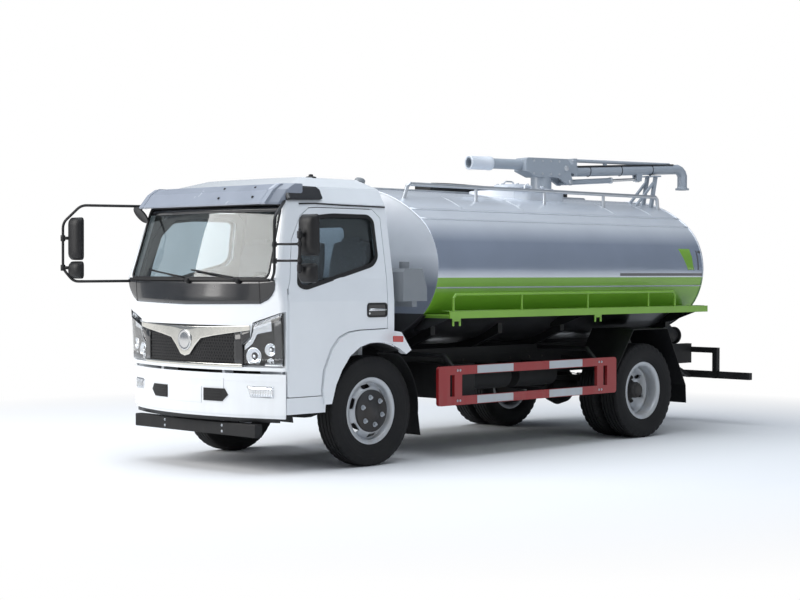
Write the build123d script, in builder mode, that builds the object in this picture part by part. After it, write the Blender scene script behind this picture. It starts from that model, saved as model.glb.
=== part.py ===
from build123d import *
import os
from math import acos, cos, hypot, radians, sin, sqrt, tan

# Vacuum tanker truck, two axles, cab over engine. Millimetres.
# +X runs forward, +Y to the vehicle's left, +Z up from the ground. Profiles are drawn from the
# ground point under the front axle, which lies front_axle_x ahead of the origin.
front_axle_x = 2144
seat_gap = 0.3            # between pieces that bear on each other
run_gap = 0.05            # radial, between a shaft and its bearing

# Chassis
wheelbase = 3800
tyre_radius = 484
tyre_width = 236
kingpin_half = 760
front_track_half = kingpin_half + 145    # centre plane of each front wheel
rear_outer_half = 1037    # centre planes of the twin rear wheels
rear_inner_half = 757
rail_outer = 390          # outer faces of the frame rails
rail_flange = 70
rail_web = 8
rail_low = 670
rail_high = 890
rail_front = 1050
rail_rear = -5715
axle_height = tyre_radius

# Tank
tank_half_width = 1053
tank_half_height = 747
tank_end_radius = 590     # side arcs of the section
tank_centre = 1736
tank_front = -690
tank_rear = -5055
tank_dish_radius = 6000
tank_top = tank_centre + tank_half_height

# Cab
cab_wall = 50
cab_floor = 1140
cab_pan = 1084
cab_half = 1045
cab_rear = -230
arch_radius = 600
step_low = 510
bumper_low = 500
bumper_high = 845
bumper_wall = 30
cab_pivot_x = 1150
cab_pivot_z = 620

# Doors
door_hinge_x = 1008
door_hinge_y = 1030
door_hinge_radius = 12
door_gap = 7
glass_thickness = 6

# Swing boom on the tank top
boom_x = -3500            # turret axis
boom_swing = 14.5         # degrees off the centreline as it is parked
luff_u = -250             # luff pin, from the turret axis towards the boom's tail
luff_z = 2800
lift_u = -300             # foot of the lift cylinder
lift_z = 2655
eye_u = -1300             # eye of its rod
eye_z = 2720
ring_top = 2575           # top of the fixed ring that the turret turns on
spigot_radius = 50

os.makedirs("parts", exist_ok=True)


def side_plane(y):
    """Upright fore-and-aft plane: local x forward, local y up, its normal to the right."""
    return Plane(origin=(front_axle_x, y, 0), x_dir=(1, 0, 0), z_dir=(0, -1, 0))


def cross_plane(x):
    """Upright plane across the truck: local x left, local y up, its normal forward."""
    return Plane(origin=(front_axle_x + x, 0, 0), x_dir=(0, 1, 0), z_dir=(1, 0, 0))


def level_plane(z, x=0, y=0):
    """Level plane at a height, its origin x ahead of the front axle and y to the left."""
    return Plane(origin=(front_axle_x + x, y, z), x_dir=(1, 0, 0), z_dir=(0, 0, 1))


boom_heading = (cos(radians(boom_swing)), -sin(radians(boom_swing)), 0)
boom_across = (sin(radians(boom_swing)), cos(radians(boom_swing)), 0)


def boom_side(v=0):
    """Upright plane along the parked boom, v left of its axis: local x to its tail, local y up."""
    normal = (-boom_across[0], -boom_across[1], 0)
    base = (front_axle_x + boom_x + v * boom_across[0], v * boom_across[1], 0)
    return Plane(origin=base, x_dir=boom_heading, z_dir=normal)


def boom_level(z):
    return Plane(origin=(front_axle_x + boom_x, 0, z), x_dir=boom_heading, z_dir=(0, 0, 1))


def boom_cross(u):
    """Plane across the parked boom at u along it: local x left, local y up, normal to its tail."""
    base = (front_axle_x + boom_x + u * boom_heading[0], u * boom_heading[1], 0)
    return Plane(origin=base, x_dir=boom_across, z_dir=boom_heading)


def save(piece, name):
    piece.part.label = name
    export_step(piece.part, f"parts/{name}.step")


def tank_section(x, grow=0.0):
    """The tank's section at x: two end arcs, and the crown and floor arcs that run into them."""
    end_radius = tank_end_radius + grow
    half_width = tank_half_width + grow
    half_height = tank_half_height + grow
    end_y = half_width - end_radius
    crown_radius = (end_y ** 2 + half_height ** 2 - end_radius ** 2) / (2 * (half_height - end_radius))
    reach = crown_radius / (crown_radius - end_radius)
    joint_y = end_y * reach
    joint_z = (crown_radius - half_height) * (reach - 1)
    with BuildSketch(cross_plane(x)) as section:
        with BuildLine():
            for side in (1, -1):
                ThreePointArc((side * joint_y, tank_centre - joint_z), (side * half_width, tank_centre),
                              (side * joint_y, tank_centre + joint_z))
                ThreePointArc((joint_y, tank_centre + side * joint_z), (0, tank_centre + side * half_height),
                              (-joint_y, tank_centre + side * joint_z))
        make_face()
    return section.sketch


def tube_run(points, radius, bend=0.0, mitres=2):
    """A round tube through points, each corner a bend made of a few mitred joints."""
    corners = [Vector(front_axle_x + x, y, z) for x, y, z in points]
    joints = [corners[0]]
    for before, corner, after in zip(corners, corners[1:], corners[2:]):
        heading = (corner - before).normalized()
        next_heading = (after - corner).normalized()
        turn = acos(heading.dot(next_heading))
        outward = (heading - next_heading).normalized()
        onward = (heading + next_heading).normalized()
        centre = corner - outward * (bend / cos(turn / 2))
        for k in range(mitres):
            angle = turn / mitres * (k - (mitres - 1) / 2)
            joints.append(centre + (outward * cos(angle) + onward * sin(angle)) * (bend / cos(turn / mitres / 2)))
    joints.append(corners[-1])
    last = len(joints) - 1
    with BuildPart() as run:
        for k in range(last):
            heading = (joints[k + 1] - joints[k]).normalized()
            length = (joints[k + 1] - joints[k]).length + 2 * radius
            base = Plane(origin=joints[k] - heading * radius, z_dir=heading)
            stretch = Cylinder(radius, length, align=(Align.CENTER, Align.CENTER, Align.MIN), mode=Mode.PRIVATE)
            stretch = stretch.moved(base.location)
            for end in (k, k + 1):
                facing = heading
                if 0 < end < last:
                    facing = (joints[end + 1] - joints[end]).normalized() + (joints[end] - joints[end - 1]).normalized()
                stretch = split(stretch, bisect_by=Plane(origin=joints[end], z_dir=facing),
                                keep=Keep.TOP if end == k else Keep.BOTTOM, mode=Mode.PRIVATE)
            add(stretch)
    return run.part


# The tank's outer form grown by the seat gap trims whatever stands on it or hangs from it.
with BuildPart() as tank_envelope:
    add(tank_section(tank_rear, seat_gap))
    extrude(amount=tank_front - tank_rear, dir=(1, 0, 0))
tank_form = tank_envelope.part

# ---------------------------------------------------------------- frame
with BuildPart() as frame_rails:
    with BuildSketch(cross_plane(rail_rear)):
        for side in (1, -1):
            with Locations((side * (rail_outer - rail_flange / 2), (rail_low + rail_high) / 2)):
                Rectangle(rail_flange, rail_high - rail_low)
            with Locations((side * (rail_outer - rail_flange / 2 - rail_web), (rail_low + rail_high) / 2)):
                Rectangle(rail_flange, rail_high - rail_low - 2 * rail_web, mode=Mode.SUBTRACT)
    extrude(amount=rail_front - rail_rear)
save(frame_rails, "frame_rails")

# Cross members between the webs: x, height of the section, its middle height.
member_stations = [(1000, 90, 735), (-760, 120, 815), (-1700, 150, 780), (-2700, 150, 780),
                   (-3350, 120, 800), (-4250, 120, 800), (-5000, 150, 780)]
member_span = rail_outer - rail_web - seat_gap
member_depth = 70
rest_post_x = -100
with BuildPart() as cross_members:
    for member_x, member_height, member_z in member_stations:
        with BuildSketch(side_plane(member_span)):
            with Locations((member_x, member_z)):
                Rectangle(member_depth, member_height)
            with Locations((member_x - rail_web, member_z)):
                Rectangle(member_depth, member_height - 2 * rail_web, mode=Mode.SUBTRACT)
        extrude(amount=2 * member_span)
    for side in (1, -1):
        with BuildSketch(level_plane(rail_high + seat_gap, rest_post_x, side * (rail_outer - 40))):
            Rectangle(100, 60)
        extrude(amount=cab_pan - rail_high - 2 * seat_gap)
save(cross_members, "cross_members")

# Brackets under the rails' front ends carry the cab's tilting pins and the bar under the bumper.
mount_inner = 330
mount_outer = 380
pin_radius = 20
pin_end = 445
bar_rear = 1110
bar_front = 1190
bar_low = 313
bar_high = 425
with BuildPart() as front_mounts:
    for side in (1, -1):
        with BuildSketch(side_plane(side * mount_outer)):
            with BuildLine():
                Polyline((900, rail_low - seat_gap), (1120, rail_low - seat_gap), (1190, 650), (1190, 590),
                         (1120, 572), (1065, 560), (1055, bar_high), (bar_rear - seat_gap, bar_high),
                         (bar_rear - seat_gap, 330), (1000, 330), (960, 600), close=True)
            make_face()
        extrude(amount=side * (mount_outer - mount_inner))
        with BuildSketch(side_plane(side * pin_end)):
            with Locations((cab_pivot_x, cab_pivot_z)):
                Circle(pin_radius)
        extrude(amount=side * (pin_end - mount_inner))
save(front_mounts, "front_mounts")

with BuildPart() as under_bar:
    with BuildSketch(side_plane(820)):
        with Locations(((bar_rear + bar_front) / 2, (bar_low + bar_high) / 2)):
            Rectangle(bar_front - bar_rear, bar_high - bar_low)
    extrude(amount=1640)
    fillet(under_bar.edges().filter_by(Axis.Y), 12)
save(under_bar, "under_bar")

engine_low = 520
engine_high = 1110
engine_tail = -590
engine_tail_z = 690
with BuildPart() as engine_block:
    with BuildSketch(side_plane(270)):
        with BuildLine():
            Polyline((800, engine_low + 60), (800, engine_high - 60), (700, engine_high),
                     (-60, engine_high), (-160, engine_high - 160), (-560, 800), (engine_tail, 770),
                     (engine_tail, 610), (-200, 560), (-120, engine_low), (740, engine_low), close=True)
        make_face()
    extrude(amount=540)
save(engine_block, "engine_block")

shaft_end_x = -wheelbase + 235
shaft_end_z = 520
shaft_radius = 42
nose_radius = 72
shaft_run = engine_tail - shaft_end_x
shaft_fall = engine_tail_z - shaft_end_z
shaft_length = hypot(shaft_run, shaft_fall)
shaft_plane = Plane(origin=(front_axle_x + engine_tail - seat_gap, 0, engine_tail_z),
                    z_dir=(-shaft_run, 0, -shaft_fall))
with BuildPart() as propshaft:
    with BuildSketch(shaft_plane):
        Circle(nose_radius)
    extrude(amount=30)
    with BuildSketch(shaft_plane):
        Circle(shaft_radius)
    extrude(amount=shaft_length)
    with BuildSketch(shaft_plane.offset(shaft_length * 0.45)):
        Circle(nose_radius - 12)
    extrude(amount=60)
    with BuildSketch(shaft_plane.offset(shaft_length - 30)):
        Circle(nose_radius)
    extrude(amount=30)
    with BuildSketch(side_plane(200)):
        with Locations((engine_tail + 50 - seat_gap, engine_tail_z)):
            Rectangle(100, 400)
    extrude(amount=400, mode=Mode.SUBTRACT)
save(propshaft, "propshaft")

# ---------------------------------------------------------------- axles and springs
spring_y = 352
spring_width = 70
spring_eye_z = 640
spring_stack = 62
front_spring_seat = 500
rear_spring_seat = axle_height + 72
spring_rows = [(0, 1240, front_spring_seat), (-wheelbase, 1360, rear_spring_seat)]
with BuildPart() as leaf_springs:
    for spring_x, spring_length, seat_z in spring_rows:
        half = spring_length / 2
        low = seat_z + seat_gap
        for side in (1, -1):
            with BuildSketch(side_plane(side * spring_y + spring_width / 2)):
                with BuildLine():
                    ThreePointArc((spring_x - half, spring_eye_z - 25), (spring_x, low),
                                  (spring_x + half, spring_eye_z - 25))
                    Line((spring_x + half, spring_eye_z - 25), (spring_x + half, spring_eye_z - 8))
                    ThreePointArc((spring_x + half, spring_eye_z - 8), (spring_x, low + spring_stack),
                                  (spring_x - half, spring_eye_z - 8))
                    Line((spring_x - half, spring_eye_z - 8), (spring_x - half, spring_eye_z - 25))
                make_face()
                hanger_height = rail_low - seat_gap - spring_eye_z + 25
                with Locations((spring_x - half, rail_low - seat_gap - hanger_height / 2),
                               (spring_x + half, rail_low - seat_gap - hanger_height / 2)):
                    Rectangle(80, hanger_height)
            extrude(amount=spring_width)
save(leaf_springs, "leaf_springs")

fist_radius = 38
fist_half = 45
kingpin_radius = 17
beam_low = 370
with BuildPart() as front_axle:
    with BuildSketch(cross_plane(-42)):
        with BuildLine():
            Polyline((0, beam_low), (170, beam_low + 5), (spring_y - 60, 415), (650, 440),
                     (kingpin_half, axle_height - 30), (kingpin_half, axle_height + 30),
                     (670, front_spring_seat), (spring_y - 60, front_spring_seat),
                     (150, beam_low + 85), (0, beam_low + 80), close=True)
        make_face()
        mirror(about=Plane.YZ)
    extrude(amount=84)
    for side in (1, -1):
        with BuildSketch(level_plane(axle_height - fist_half, y=side * kingpin_half)):
            Circle(fist_radius + 12)
        extrude(amount=2 * fist_half, mode=Mode.SUBTRACT)
        with BuildSketch(level_plane(axle_height - fist_half, y=side * kingpin_half)):
            Circle(fist_radius)
            with Locations((0, -side * (fist_radius + 6))):
                Rectangle(56, 40)
        extrude(amount=2 * fist_half)
        with BuildSketch(level_plane(axle_height - fist_half, y=side * kingpin_half)):
            Circle(kingpin_radius + run_gap)
        extrude(amount=2 * fist_half, mode=Mode.SUBTRACT)
save(front_axle, "front_axle")

axle_tube_radius = 66
axle_tube_end = 670
rear_spindle_radius = 44
rear_spindle_end = 900
banjo_radius = 205
rear_axis = Axis((front_axle_x - wheelbase, 0, axle_height), (0, 1, 0))
with BuildPart() as rear_axle:
    with BuildSketch(level_plane(axle_height, -wheelbase)):
        with BuildLine():
            Polyline((0, 0), (banjo_radius, 0), (banjo_radius - 30, 90), (axle_tube_radius, 200),
                     (axle_tube_radius, axle_tube_end), (rear_spindle_radius, axle_tube_end),
                     (rear_spindle_radius, rear_spindle_end), (0, rear_spindle_end), close=True)
        make_face()
        mirror(about=Plane.XZ)
    revolve(axis=rear_axis)
    with BuildSketch(shaft_plane.offset(shaft_length + seat_gap)):
        Circle(nose_radius)
    extrude(amount=120)
    for side in (1, -1):
        with BuildSketch(level_plane(axle_height, -wheelbase, side * spring_y)):
            Rectangle(150, spring_width)
        extrude(amount=rear_spring_seat - axle_height)
save(rear_axle, "rear_axle")

# ---------------------------------------------------------------- tank
dome_x = -3100
dome_length = 1100
dome_width = 760
dome_top = 2530
ring_radius = 130
hatch_x = -2850
hatch_y = 160
hatch_radius = 190
neck_radius = 165
neck_top = 2560
hatch_hinge_y = 366
hatch_hinge_z = 2572
hatch_pin_radius = 6
with BuildPart() as tank_barrel:
    add(tank_section(tank_rear))
    extrude(amount=tank_front - tank_rear, dir=(1, 0, 0))
    for dish_centre in (tank_front - tank_dish_radius, tank_rear + tank_dish_radius):
        with Locations((front_axle_x + dish_centre, 0, tank_centre)):
            Sphere(tank_dish_radius, mode=Mode.INTERSECT)
    with BuildSketch(level_plane(tank_top - 200, dome_x)):
        SlotOverall(dome_length, dome_width)
    extrude(amount=dome_top - tank_top + 200)
    with BuildSketch(level_plane(dome_top, boom_x)):
        Circle(ring_radius)
    extrude(amount=ring_top - dome_top)
    with BuildSketch(level_plane(dome_top + 5, boom_x)):
        Circle(spigot_radius + run_gap)
    extrude(amount=ring_top - dome_top, mode=Mode.SUBTRACT)
    with BuildSketch(level_plane(dome_top, hatch_x, hatch_y)):
        Circle(neck_radius)
    extrude(amount=neck_top - dome_top)
    for lug_x in (hatch_x - 48, hatch_x + 48):
        with BuildSketch(cross_plane(lug_x - 7)):
            with Locations((hatch_hinge_y, hatch_hinge_z)):
                Circle(13)
            with Locations((hatch_hinge_y, (dome_top + hatch_hinge_z) / 2)):
                Rectangle(20, hatch_hinge_z - dome_top)
        extrude(amount=14)
    with BuildSketch(cross_plane(hatch_x - 54)):
        with Locations((hatch_hinge_y, hatch_hinge_z)):
            Circle(hatch_pin_radius)
    extrude(amount=108)
save(tank_barrel, "tank_barrel")

lid_thickness = 28
with BuildPart() as hatch_lid:
    with BuildSketch(level_plane(neck_top + seat_gap, hatch_x, hatch_y)):
        Circle(hatch_radius)
    extrude(amount=lid_thickness)
    with BuildSketch(level_plane(neck_top + seat_gap + lid_thickness, hatch_x, hatch_y)):
        Circle(hatch_radius - 60)
    extrude(amount=8)
    with BuildSketch(cross_plane(hatch_x - 35)):
        with Locations((hatch_hinge_y, hatch_hinge_z)):
            Circle(13)
        with Locations(((hatch_hinge_y + hatch_y + hatch_radius) / 2 - 10, neck_top + seat_gap + 14)):
            Rectangle(hatch_hinge_y - hatch_y - hatch_radius + 20, 22)
        with Locations((hatch_hinge_y, hatch_hinge_z)):
            Circle(hatch_pin_radius + run_gap, mode=Mode.SUBTRACT)
    extrude(amount=70)
save(hatch_lid, "hatch_lid")

bearer_high = 965
with BuildPart() as tank_bearers:
    for side in (1, -1):
        with BuildSketch(level_plane(rail_high + seat_gap, (tank_front + tank_rear) / 2, side * 355)):
            Rectangle(tank_front - tank_rear - 120, rail_flange)
        extrude(amount=bearer_high - rail_high - seat_gap)
save(tank_bearers, "tank_bearers")

saddle_stations = (-1050, -2000, -2950, -4750)
saddle_half = 740
saddle_thickness = 60
with BuildPart() as tank_saddles:
    for saddle_x in saddle_stations:
        with BuildSketch(cross_plane(saddle_x - saddle_thickness / 2)):
            Polygon((-rail_outer, bearer_high + seat_gap), (rail_outer, bearer_high + seat_gap),
                    (saddle_half, 1110), (saddle_half, 1230), (-saddle_half, 1230), (-saddle_half, 1110),
                    align=None)
        extrude(amount=saddle_thickness)
    add(tank_form, mode=Mode.SUBTRACT)
save(tank_saddles, "tank_saddles")

rail_y = 500
rail_tube = 19
rail_tube_z = 2521
rail_path = [(-895, 2360), (-960, rail_tube_z), (-4880, rail_tube_z), (-4900, 2380)]
rail_posts = (-1910, -2950, -3925)
with BuildPart() as top_rails:
    for side in (1, -1):
        add(tube_run([(x, side * rail_y, z) for x, z in rail_path], rail_tube, bend=60))
        for post_x in rail_posts:
            with BuildSketch(level_plane(2370, post_x, side * rail_y)):
                Circle(rail_tube - 3)
            extrude(amount=rail_tube_z - 2370)
    add(tank_form, mode=Mode.SUBTRACT)
save(top_rails, "top_rails")

trough_front = -2350
trough_rear = -4600
trough_inner = 530
trough_outer = 750
trough_high = 2600
with BuildPart() as hose_trough:
    with BuildSketch(level_plane(2230, (trough_front + trough_rear) / 2, -(trough_inner + trough_outer) / 2)):
        Rectangle(trough_front - trough_rear, trough_outer - trough_inner)
    extrude(amount=trough_high - 2230)
    with BuildSketch(level_plane(2440, (trough_front + trough_rear) / 2, -(trough_inner + trough_outer) / 2)):
        Rectangle(trough_front - trough_rear - 20, trough_outer - trough_inner - 20)
    extrude(amount=200, mode=Mode.SUBTRACT)
    add(tank_form, mode=Mode.SUBTRACT)
save(hose_trough, "hose_trough")

# Walkways along the tank, each with a raised lip and a toe rail.
walk_low = 1280
walk_high = 1345
walk_edge = 1200
walk_front = -790
walk_rear = -4840
toe_y = 1182
toe_z = 1498
toe_radius = 12
toe_path = [(-850, walk_high - 30), (-850, toe_z), (-4260, toe_z), (-4260, walk_high - 30)]
toe_posts = (-1800, -2800, -3800)
with BuildPart() as walkways:
    for side in (1, -1):
        with BuildSketch(cross_plane(walk_rear)):
            Polygon((side * 760, walk_high - 30), (side * walk_edge, walk_high - 30), (side * walk_edge, walk_low),
                    (side * (walk_edge - 12), walk_low), (side * (walk_edge - 12), walk_high - 42),
                    (side * 760, walk_high - 42), align=None)
            with Locations((side * (walk_edge - 6), walk_high - 20)):
                Rectangle(12, 40)
        extrude(amount=walk_front - walk_rear)
        for lug_x in (walk_front - 50, (walk_front + walk_rear) / 2, walk_rear + 150):
            with BuildSketch(cross_plane(lug_x - 5)):
                Polygon((side * 700, walk_high - 42), (side * 1150, walk_high - 42), (side * 1150, walk_low),
                        (side * 860, 1180), (side * 700, 1150), align=None)
            extrude(amount=10)
        add(tube_run([(x, side * toe_y, z) for x, z in toe_path], toe_radius, bend=60))
        for post_x in toe_posts:
            with BuildSketch(level_plane(walk_high - 30, post_x, side * toe_y)):
                Circle(toe_radius - 2)
            extrude(amount=toe_z - walk_high + 30)
    add(tank_form, mode=Mode.SUBTRACT)
save(walkways, "walkways")

# Side guards: a post, a slot and a second post at each end, joined by two box bars.
guard_inner = 1155
guard_outer = 1187
guard_front = -655
guard_rear = -3260
guard_low = 495
guard_high = 850
guard_bar = 80
end_post = 150
slot = 60
inner_post = 100
with BuildPart() as side_guards:
    for side in (1, -1):
        guard_length = guard_front - guard_rear
        guard_x = (guard_front + guard_rear) / 2
        guard_z = (guard_low + guard_high) / 2
        with BuildSketch(side_plane(side * guard_outer)):
            with Locations((guard_x, guard_z)):
                RectangleRounded(guard_length, guard_high - guard_low, 30)
            with Locations((guard_x, guard_z)):
                Rectangle(guard_length - 2 * (end_post + slot + inner_post),
                          guard_high - guard_low - 2 * guard_bar, mode=Mode.SUBTRACT)
            with Locations((guard_front - end_post - slot / 2, guard_z),
                           (guard_rear + end_post + slot / 2, guard_z)):
                Rectangle(slot, guard_high - guard_low - 2 * guard_bar, mode=Mode.SUBTRACT)
        extrude(amount=side * (guard_outer - guard_inner))
save(side_guards, "side_guards")

bracket_radius = 22
bracket_z = 935
bracket_stations = (guard_front - end_post - slot - inner_post / 2, guard_rear + end_post + slot + inner_post / 2)
with BuildPart() as guard_brackets:
    for bracket_x in bracket_stations:
        for side in (1, -1):
            drop_y = guard_inner - seat_gap - bracket_radius
            add(tube_run([(bracket_x, side * (rail_outer + seat_gap), bracket_z), (bracket_x, side * drop_y, bracket_z),
                          (bracket_x, side * drop_y, guard_low + 20)], bracket_radius, bend=200))
save(guard_brackets, "guard_brackets")

guard_stay_x = (-wheelbase + 410, -wheelbase - 550)
guard_profile = [(500, 700), (200, 1110), (-380, 1110), (-709, 506), (-720, 320),
                 (-726, 320), (-715, 508), (-384, 1116), (203, 1116), (505, 703)]
with BuildPart() as rear_mudguards:
    for side in (1, -1):
        with BuildSketch(side_plane(side * 1150)):
            with BuildLine():
                Polyline(*[(u - wheelbase, z) for u, z in guard_profile], close=True)
            make_face()
        extrude(amount=side * 530)
        for stay_x in guard_stay_x:
            with BuildSketch(side_plane(side * 640)):
                with Locations((stay_x, 815)):
                    Rectangle(40, 36)
            extrude(amount=side * (640 - rail_outer - seat_gap))
save(rear_mudguards, "rear_mudguards")

front_guard_radius = 590
guard_thickness = 6
flap_low = 230
with BuildPart() as front_mudguards:
    for side in (1, -1):
        with BuildSketch(side_plane(side * 990)):
            with BuildLine():
                inner_arc = CenterArc((0, axle_height), front_guard_radius, 125, 60)
                outer_arc = CenterArc((0, axle_height), front_guard_radius + guard_thickness, 125, 60)
                Line(inner_arc @ 0, outer_arc @ 0)
                Polyline(inner_arc @ 1, (-620, flap_low), (-620 - guard_thickness, flap_low), outer_arc @ 1)
            make_face()
        extrude(amount=side * 270)
        with BuildSketch(side_plane(side * 735)):
            with Locations((-560, 746)):
                Rectangle(36, 36)
        extrude(amount=side * (735 - rail_outer - seat_gap))
save(front_mudguards, "front_mudguards")

# ---------------------------------------------------------------- tail
beam_depth = 60
underrun_low = 504
underrun_high = 582
with BuildPart() as rear_underrun:
    with BuildSketch(level_plane(790, rail_rear - seat_gap - beam_depth / 2)):
        Rectangle(beam_depth, 1460)
    extrude(amount=60)
    with BuildSketch(level_plane(underrun_low, rail_rear - seat_gap - beam_depth / 2 - 10)):
        Rectangle(beam_depth, 2300)
    extrude(amount=underrun_high - underrun_low)
    for side in (1, -1):
        with BuildSketch(level_plane(underrun_low, rail_rear - seat_gap - beam_depth / 2, side * 700)):
            Rectangle(beam_depth, 60)
        extrude(amount=790 - underrun_low)
        with BuildSketch(side_plane(side * 385)):
            with BuildLine():
                Polyline((-5330, rail_low - seat_gap), (-5400, rail_low - seat_gap), (-5720, underrun_low + 30),
                         (-5720, underrun_low), (-5690, underrun_low), close=True)
            make_face()
        extrude(amount=side * 50)
save(rear_underrun, "rear_underrun")

lamp_front = rail_rear - 2 * seat_gap - beam_depth
with BuildPart() as tail_lamps:
    for side in (1, -1):
        with BuildSketch(cross_plane(lamp_front - 24)):
            with Locations((side * 560, 820)):
                RectangleRounded(260, 56, 10)
        extrude(amount=24)
save(tail_lamps, "tail_lamps")

valve_y = 90
valve_z = 985
outlet_z = 970
outlet_end = -5800
with BuildPart() as rear_valve:
    with BuildSketch(cross_plane(-5360)):
        with Locations((valve_y, 1100)):
            Circle(75)
    extrude(amount=360)
    with BuildSketch(cross_plane(-5375)):
        with Locations((valve_y, 1080)):
            Circle(115)
    extrude(amount=45)
    with BuildSketch(cross_plane(-5620)):
        with Locations((valve_y, valve_z)):
            Circle(130)
    extrude(amount=250)
    with BuildSketch(cross_plane(outlet_end)):
        with Locations((valve_y, outlet_z)):
            Circle(75)
    extrude(amount=200)
    with BuildSketch(cross_plane(outlet_end)):
        with Locations((valve_y, outlet_z)):
            Circle(100)
    extrude(amount=20)
    with BuildSketch(level_plane(valve_z, -5500, valve_y)):
        Circle(28)
    extrude(amount=200)
    with BuildSketch(cross_plane(outlet_end)):
        with Locations((valve_y, outlet_z)):
            Circle(60)
    extrude(amount=120, mode=Mode.SUBTRACT)
    add(tank_barrel.part, mode=Mode.SUBTRACT)
save(rear_valve, "rear_valve")

# ---------------------------------------------------------------- equipment on the frame
with BuildPart() as battery_box:
    with BuildSketch(level_plane(530, -1180, (rail_outer + seat_gap + 1010) / 2)):
        Rectangle(320, 1010 - rail_outer - seat_gap)
    extrude(amount=320)
    fillet(battery_box.edges().filter_by(Axis.Z), 15)
save(battery_box, "battery_box")

reservoir_radius = 120
with BuildPart() as air_tanks:
    for reservoir_x in (-1860, -2560):
        with BuildSketch(cross_plane(reservoir_x - 290)):
            with Locations((640, 690)):
                Circle(reservoir_radius)
        extrude(amount=580)
        for strap_x in (reservoir_x - 180, reservoir_x + 180):
            with BuildSketch(cross_plane(strap_x - 20)):
                with Locations(((rail_outer + seat_gap + 640) / 2, 790)):
                    Rectangle(640 - rail_outer - seat_gap, 40)
            extrude(amount=40)
save(air_tanks, "air_tanks")

with BuildPart() as fuel_tank:
    with BuildSketch(cross_plane(-1950)):
        with Locations((-(rail_outer + seat_gap + 960) / 2, 680)):
            RectangleRounded(960 - rail_outer - seat_gap, 380, 60)
    extrude(amount=900)
    with BuildSketch(level_plane(860, -1250, -850)):
        Circle(45)
    extrude(amount=40)
save(fuel_tank, "fuel_tank")

with BuildPart() as vacuum_pump:
    with BuildSketch(level_plane(rail_low - 20, -2500, -(rail_outer + seat_gap + 900) / 2)):
        Rectangle(380, 900 - rail_outer - seat_gap)
    extrude(amount=60)
    with BuildSketch(cross_plane(-2680)):
        with Locations((-660, 790)):
            Circle(140)
    extrude(amount=360)
    with BuildSketch(level_plane(rail_low + 30, -2500, -660)):
        Rectangle(260, 220)
    extrude(amount=60)
    with BuildSketch(level_plane(790, -2500, -660)):
        Circle(50)
    extrude(amount=240)
save(vacuum_pump, "vacuum_pump")

rinse_front = -280
rinse_rear = -580
with BuildPart() as rinse_tank:
    with BuildSketch(side_plane(1110)):
        with BuildLine():
            Polyline((rinse_front, 1440), (rinse_front, 1700), (rinse_front - 20, 1730), (rinse_rear + 60, 1730),
                     (rinse_rear, 1560), (rinse_rear, 1440), close=True)
        make_face()
    extrude(amount=220)
    with BuildSketch(level_plane(1730, -400, 1000)):
        Circle(45)
    extrude(amount=60)
    with BuildSketch(level_plane(1390, (rinse_front + rinse_rear) / 2, 715)):
        Rectangle(60, 770)
    extrude(amount=50)
    with BuildSketch(level_plane(rail_high + seat_gap, (rinse_front + rinse_rear) / 2, 358)):
        Rectangle(60, 56)
    extrude(amount=1390 - rail_high)
save(rinse_tank, "rinse_tank")

# ---------------------------------------------------------------- cab
# Plan sections of the cab, bottom to top: height, front at the centreline, radius of the front in
# plan, half width, rear, and how far an inset moves the section in and down.
cab_rows = [
    (step_low, 1275, 2300, cab_half, cab_rear, 1.0, 0.0),
    (1450, 1262, 3200, cab_half, cab_rear, 1.0, 0.0),
    (1640, 1230, 5200, 1030, cab_rear, 1.0, 0.0),
    (2290, 1028, 5200, 926, cab_rear + 2, 1.0, 0.3),
    (2430, 905, 5200, 850, cab_rear + 15, 0.7, 0.8),
    (2520, 560, 5200, 640, cab_rear + 80, 0.5, 1.0),
]
cab_corner = 50


def cab_form(inset):
    """The cab's outer form, moved in by an inset all round."""
    with BuildPart() as form:
        for pair in zip(cab_rows[:-1], cab_rows[1:]):
            for z, front, radius, half, rear, share, drop in pair:
                side_y = half - inset * share
                nose = front - inset * share
                tail = rear + inset * share
                corner_x = nose - radius + sqrt(radius ** 2 - side_y ** 2)
                with BuildSketch(level_plane(z - inset * drop)) as section:
                    with BuildLine():
                        ThreePointArc((corner_x, -side_y), (nose, 0), (corner_x, side_y))
                        Polyline((corner_x, side_y), (tail, side_y), (tail, -side_y), (corner_x, -side_y))
                    make_face()
                    fillet(section.vertices().sort_by(Axis.X)[2:], cab_corner - inset * 0.6)
            loft(ruled=True)
    return form.part


def side_prism(outline, near, far, grow=0.0, rounding=0.0):
    """A block cut to an outline in side view, from near to far left of the centreline."""
    with BuildPart() as prism:
        with BuildSketch(side_plane(far)) as face_sketch:
            with BuildLine():
                Polyline(*outline, close=True)
            make_face()
            if rounding:
                fillet(face_sketch.vertices(), rounding)
            if grow:
                offset(amount=grow, kind=Kind.INTERSECTION)
        extrude(amount=far - near)
    return prism.part


def front_prism(outline, rear, front, grow=0.0, rounding=0.0):
    """A block cut to an outline in front view, from rear to front."""
    with BuildPart() as prism:
        with BuildSketch(cross_plane(rear)) as face_sketch:
            with BuildLine():
                Polyline(*outline, close=True)
            make_face()
            if rounding:
                fillet(face_sketch.vertices(), rounding)
            if grow:
                offset(amount=grow, kind=Kind.INTERSECTION)
        extrude(amount=front - rear)
    return prism.part


def both_sides(block):
    return block + mirror(block, about=Plane.XZ)


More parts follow.
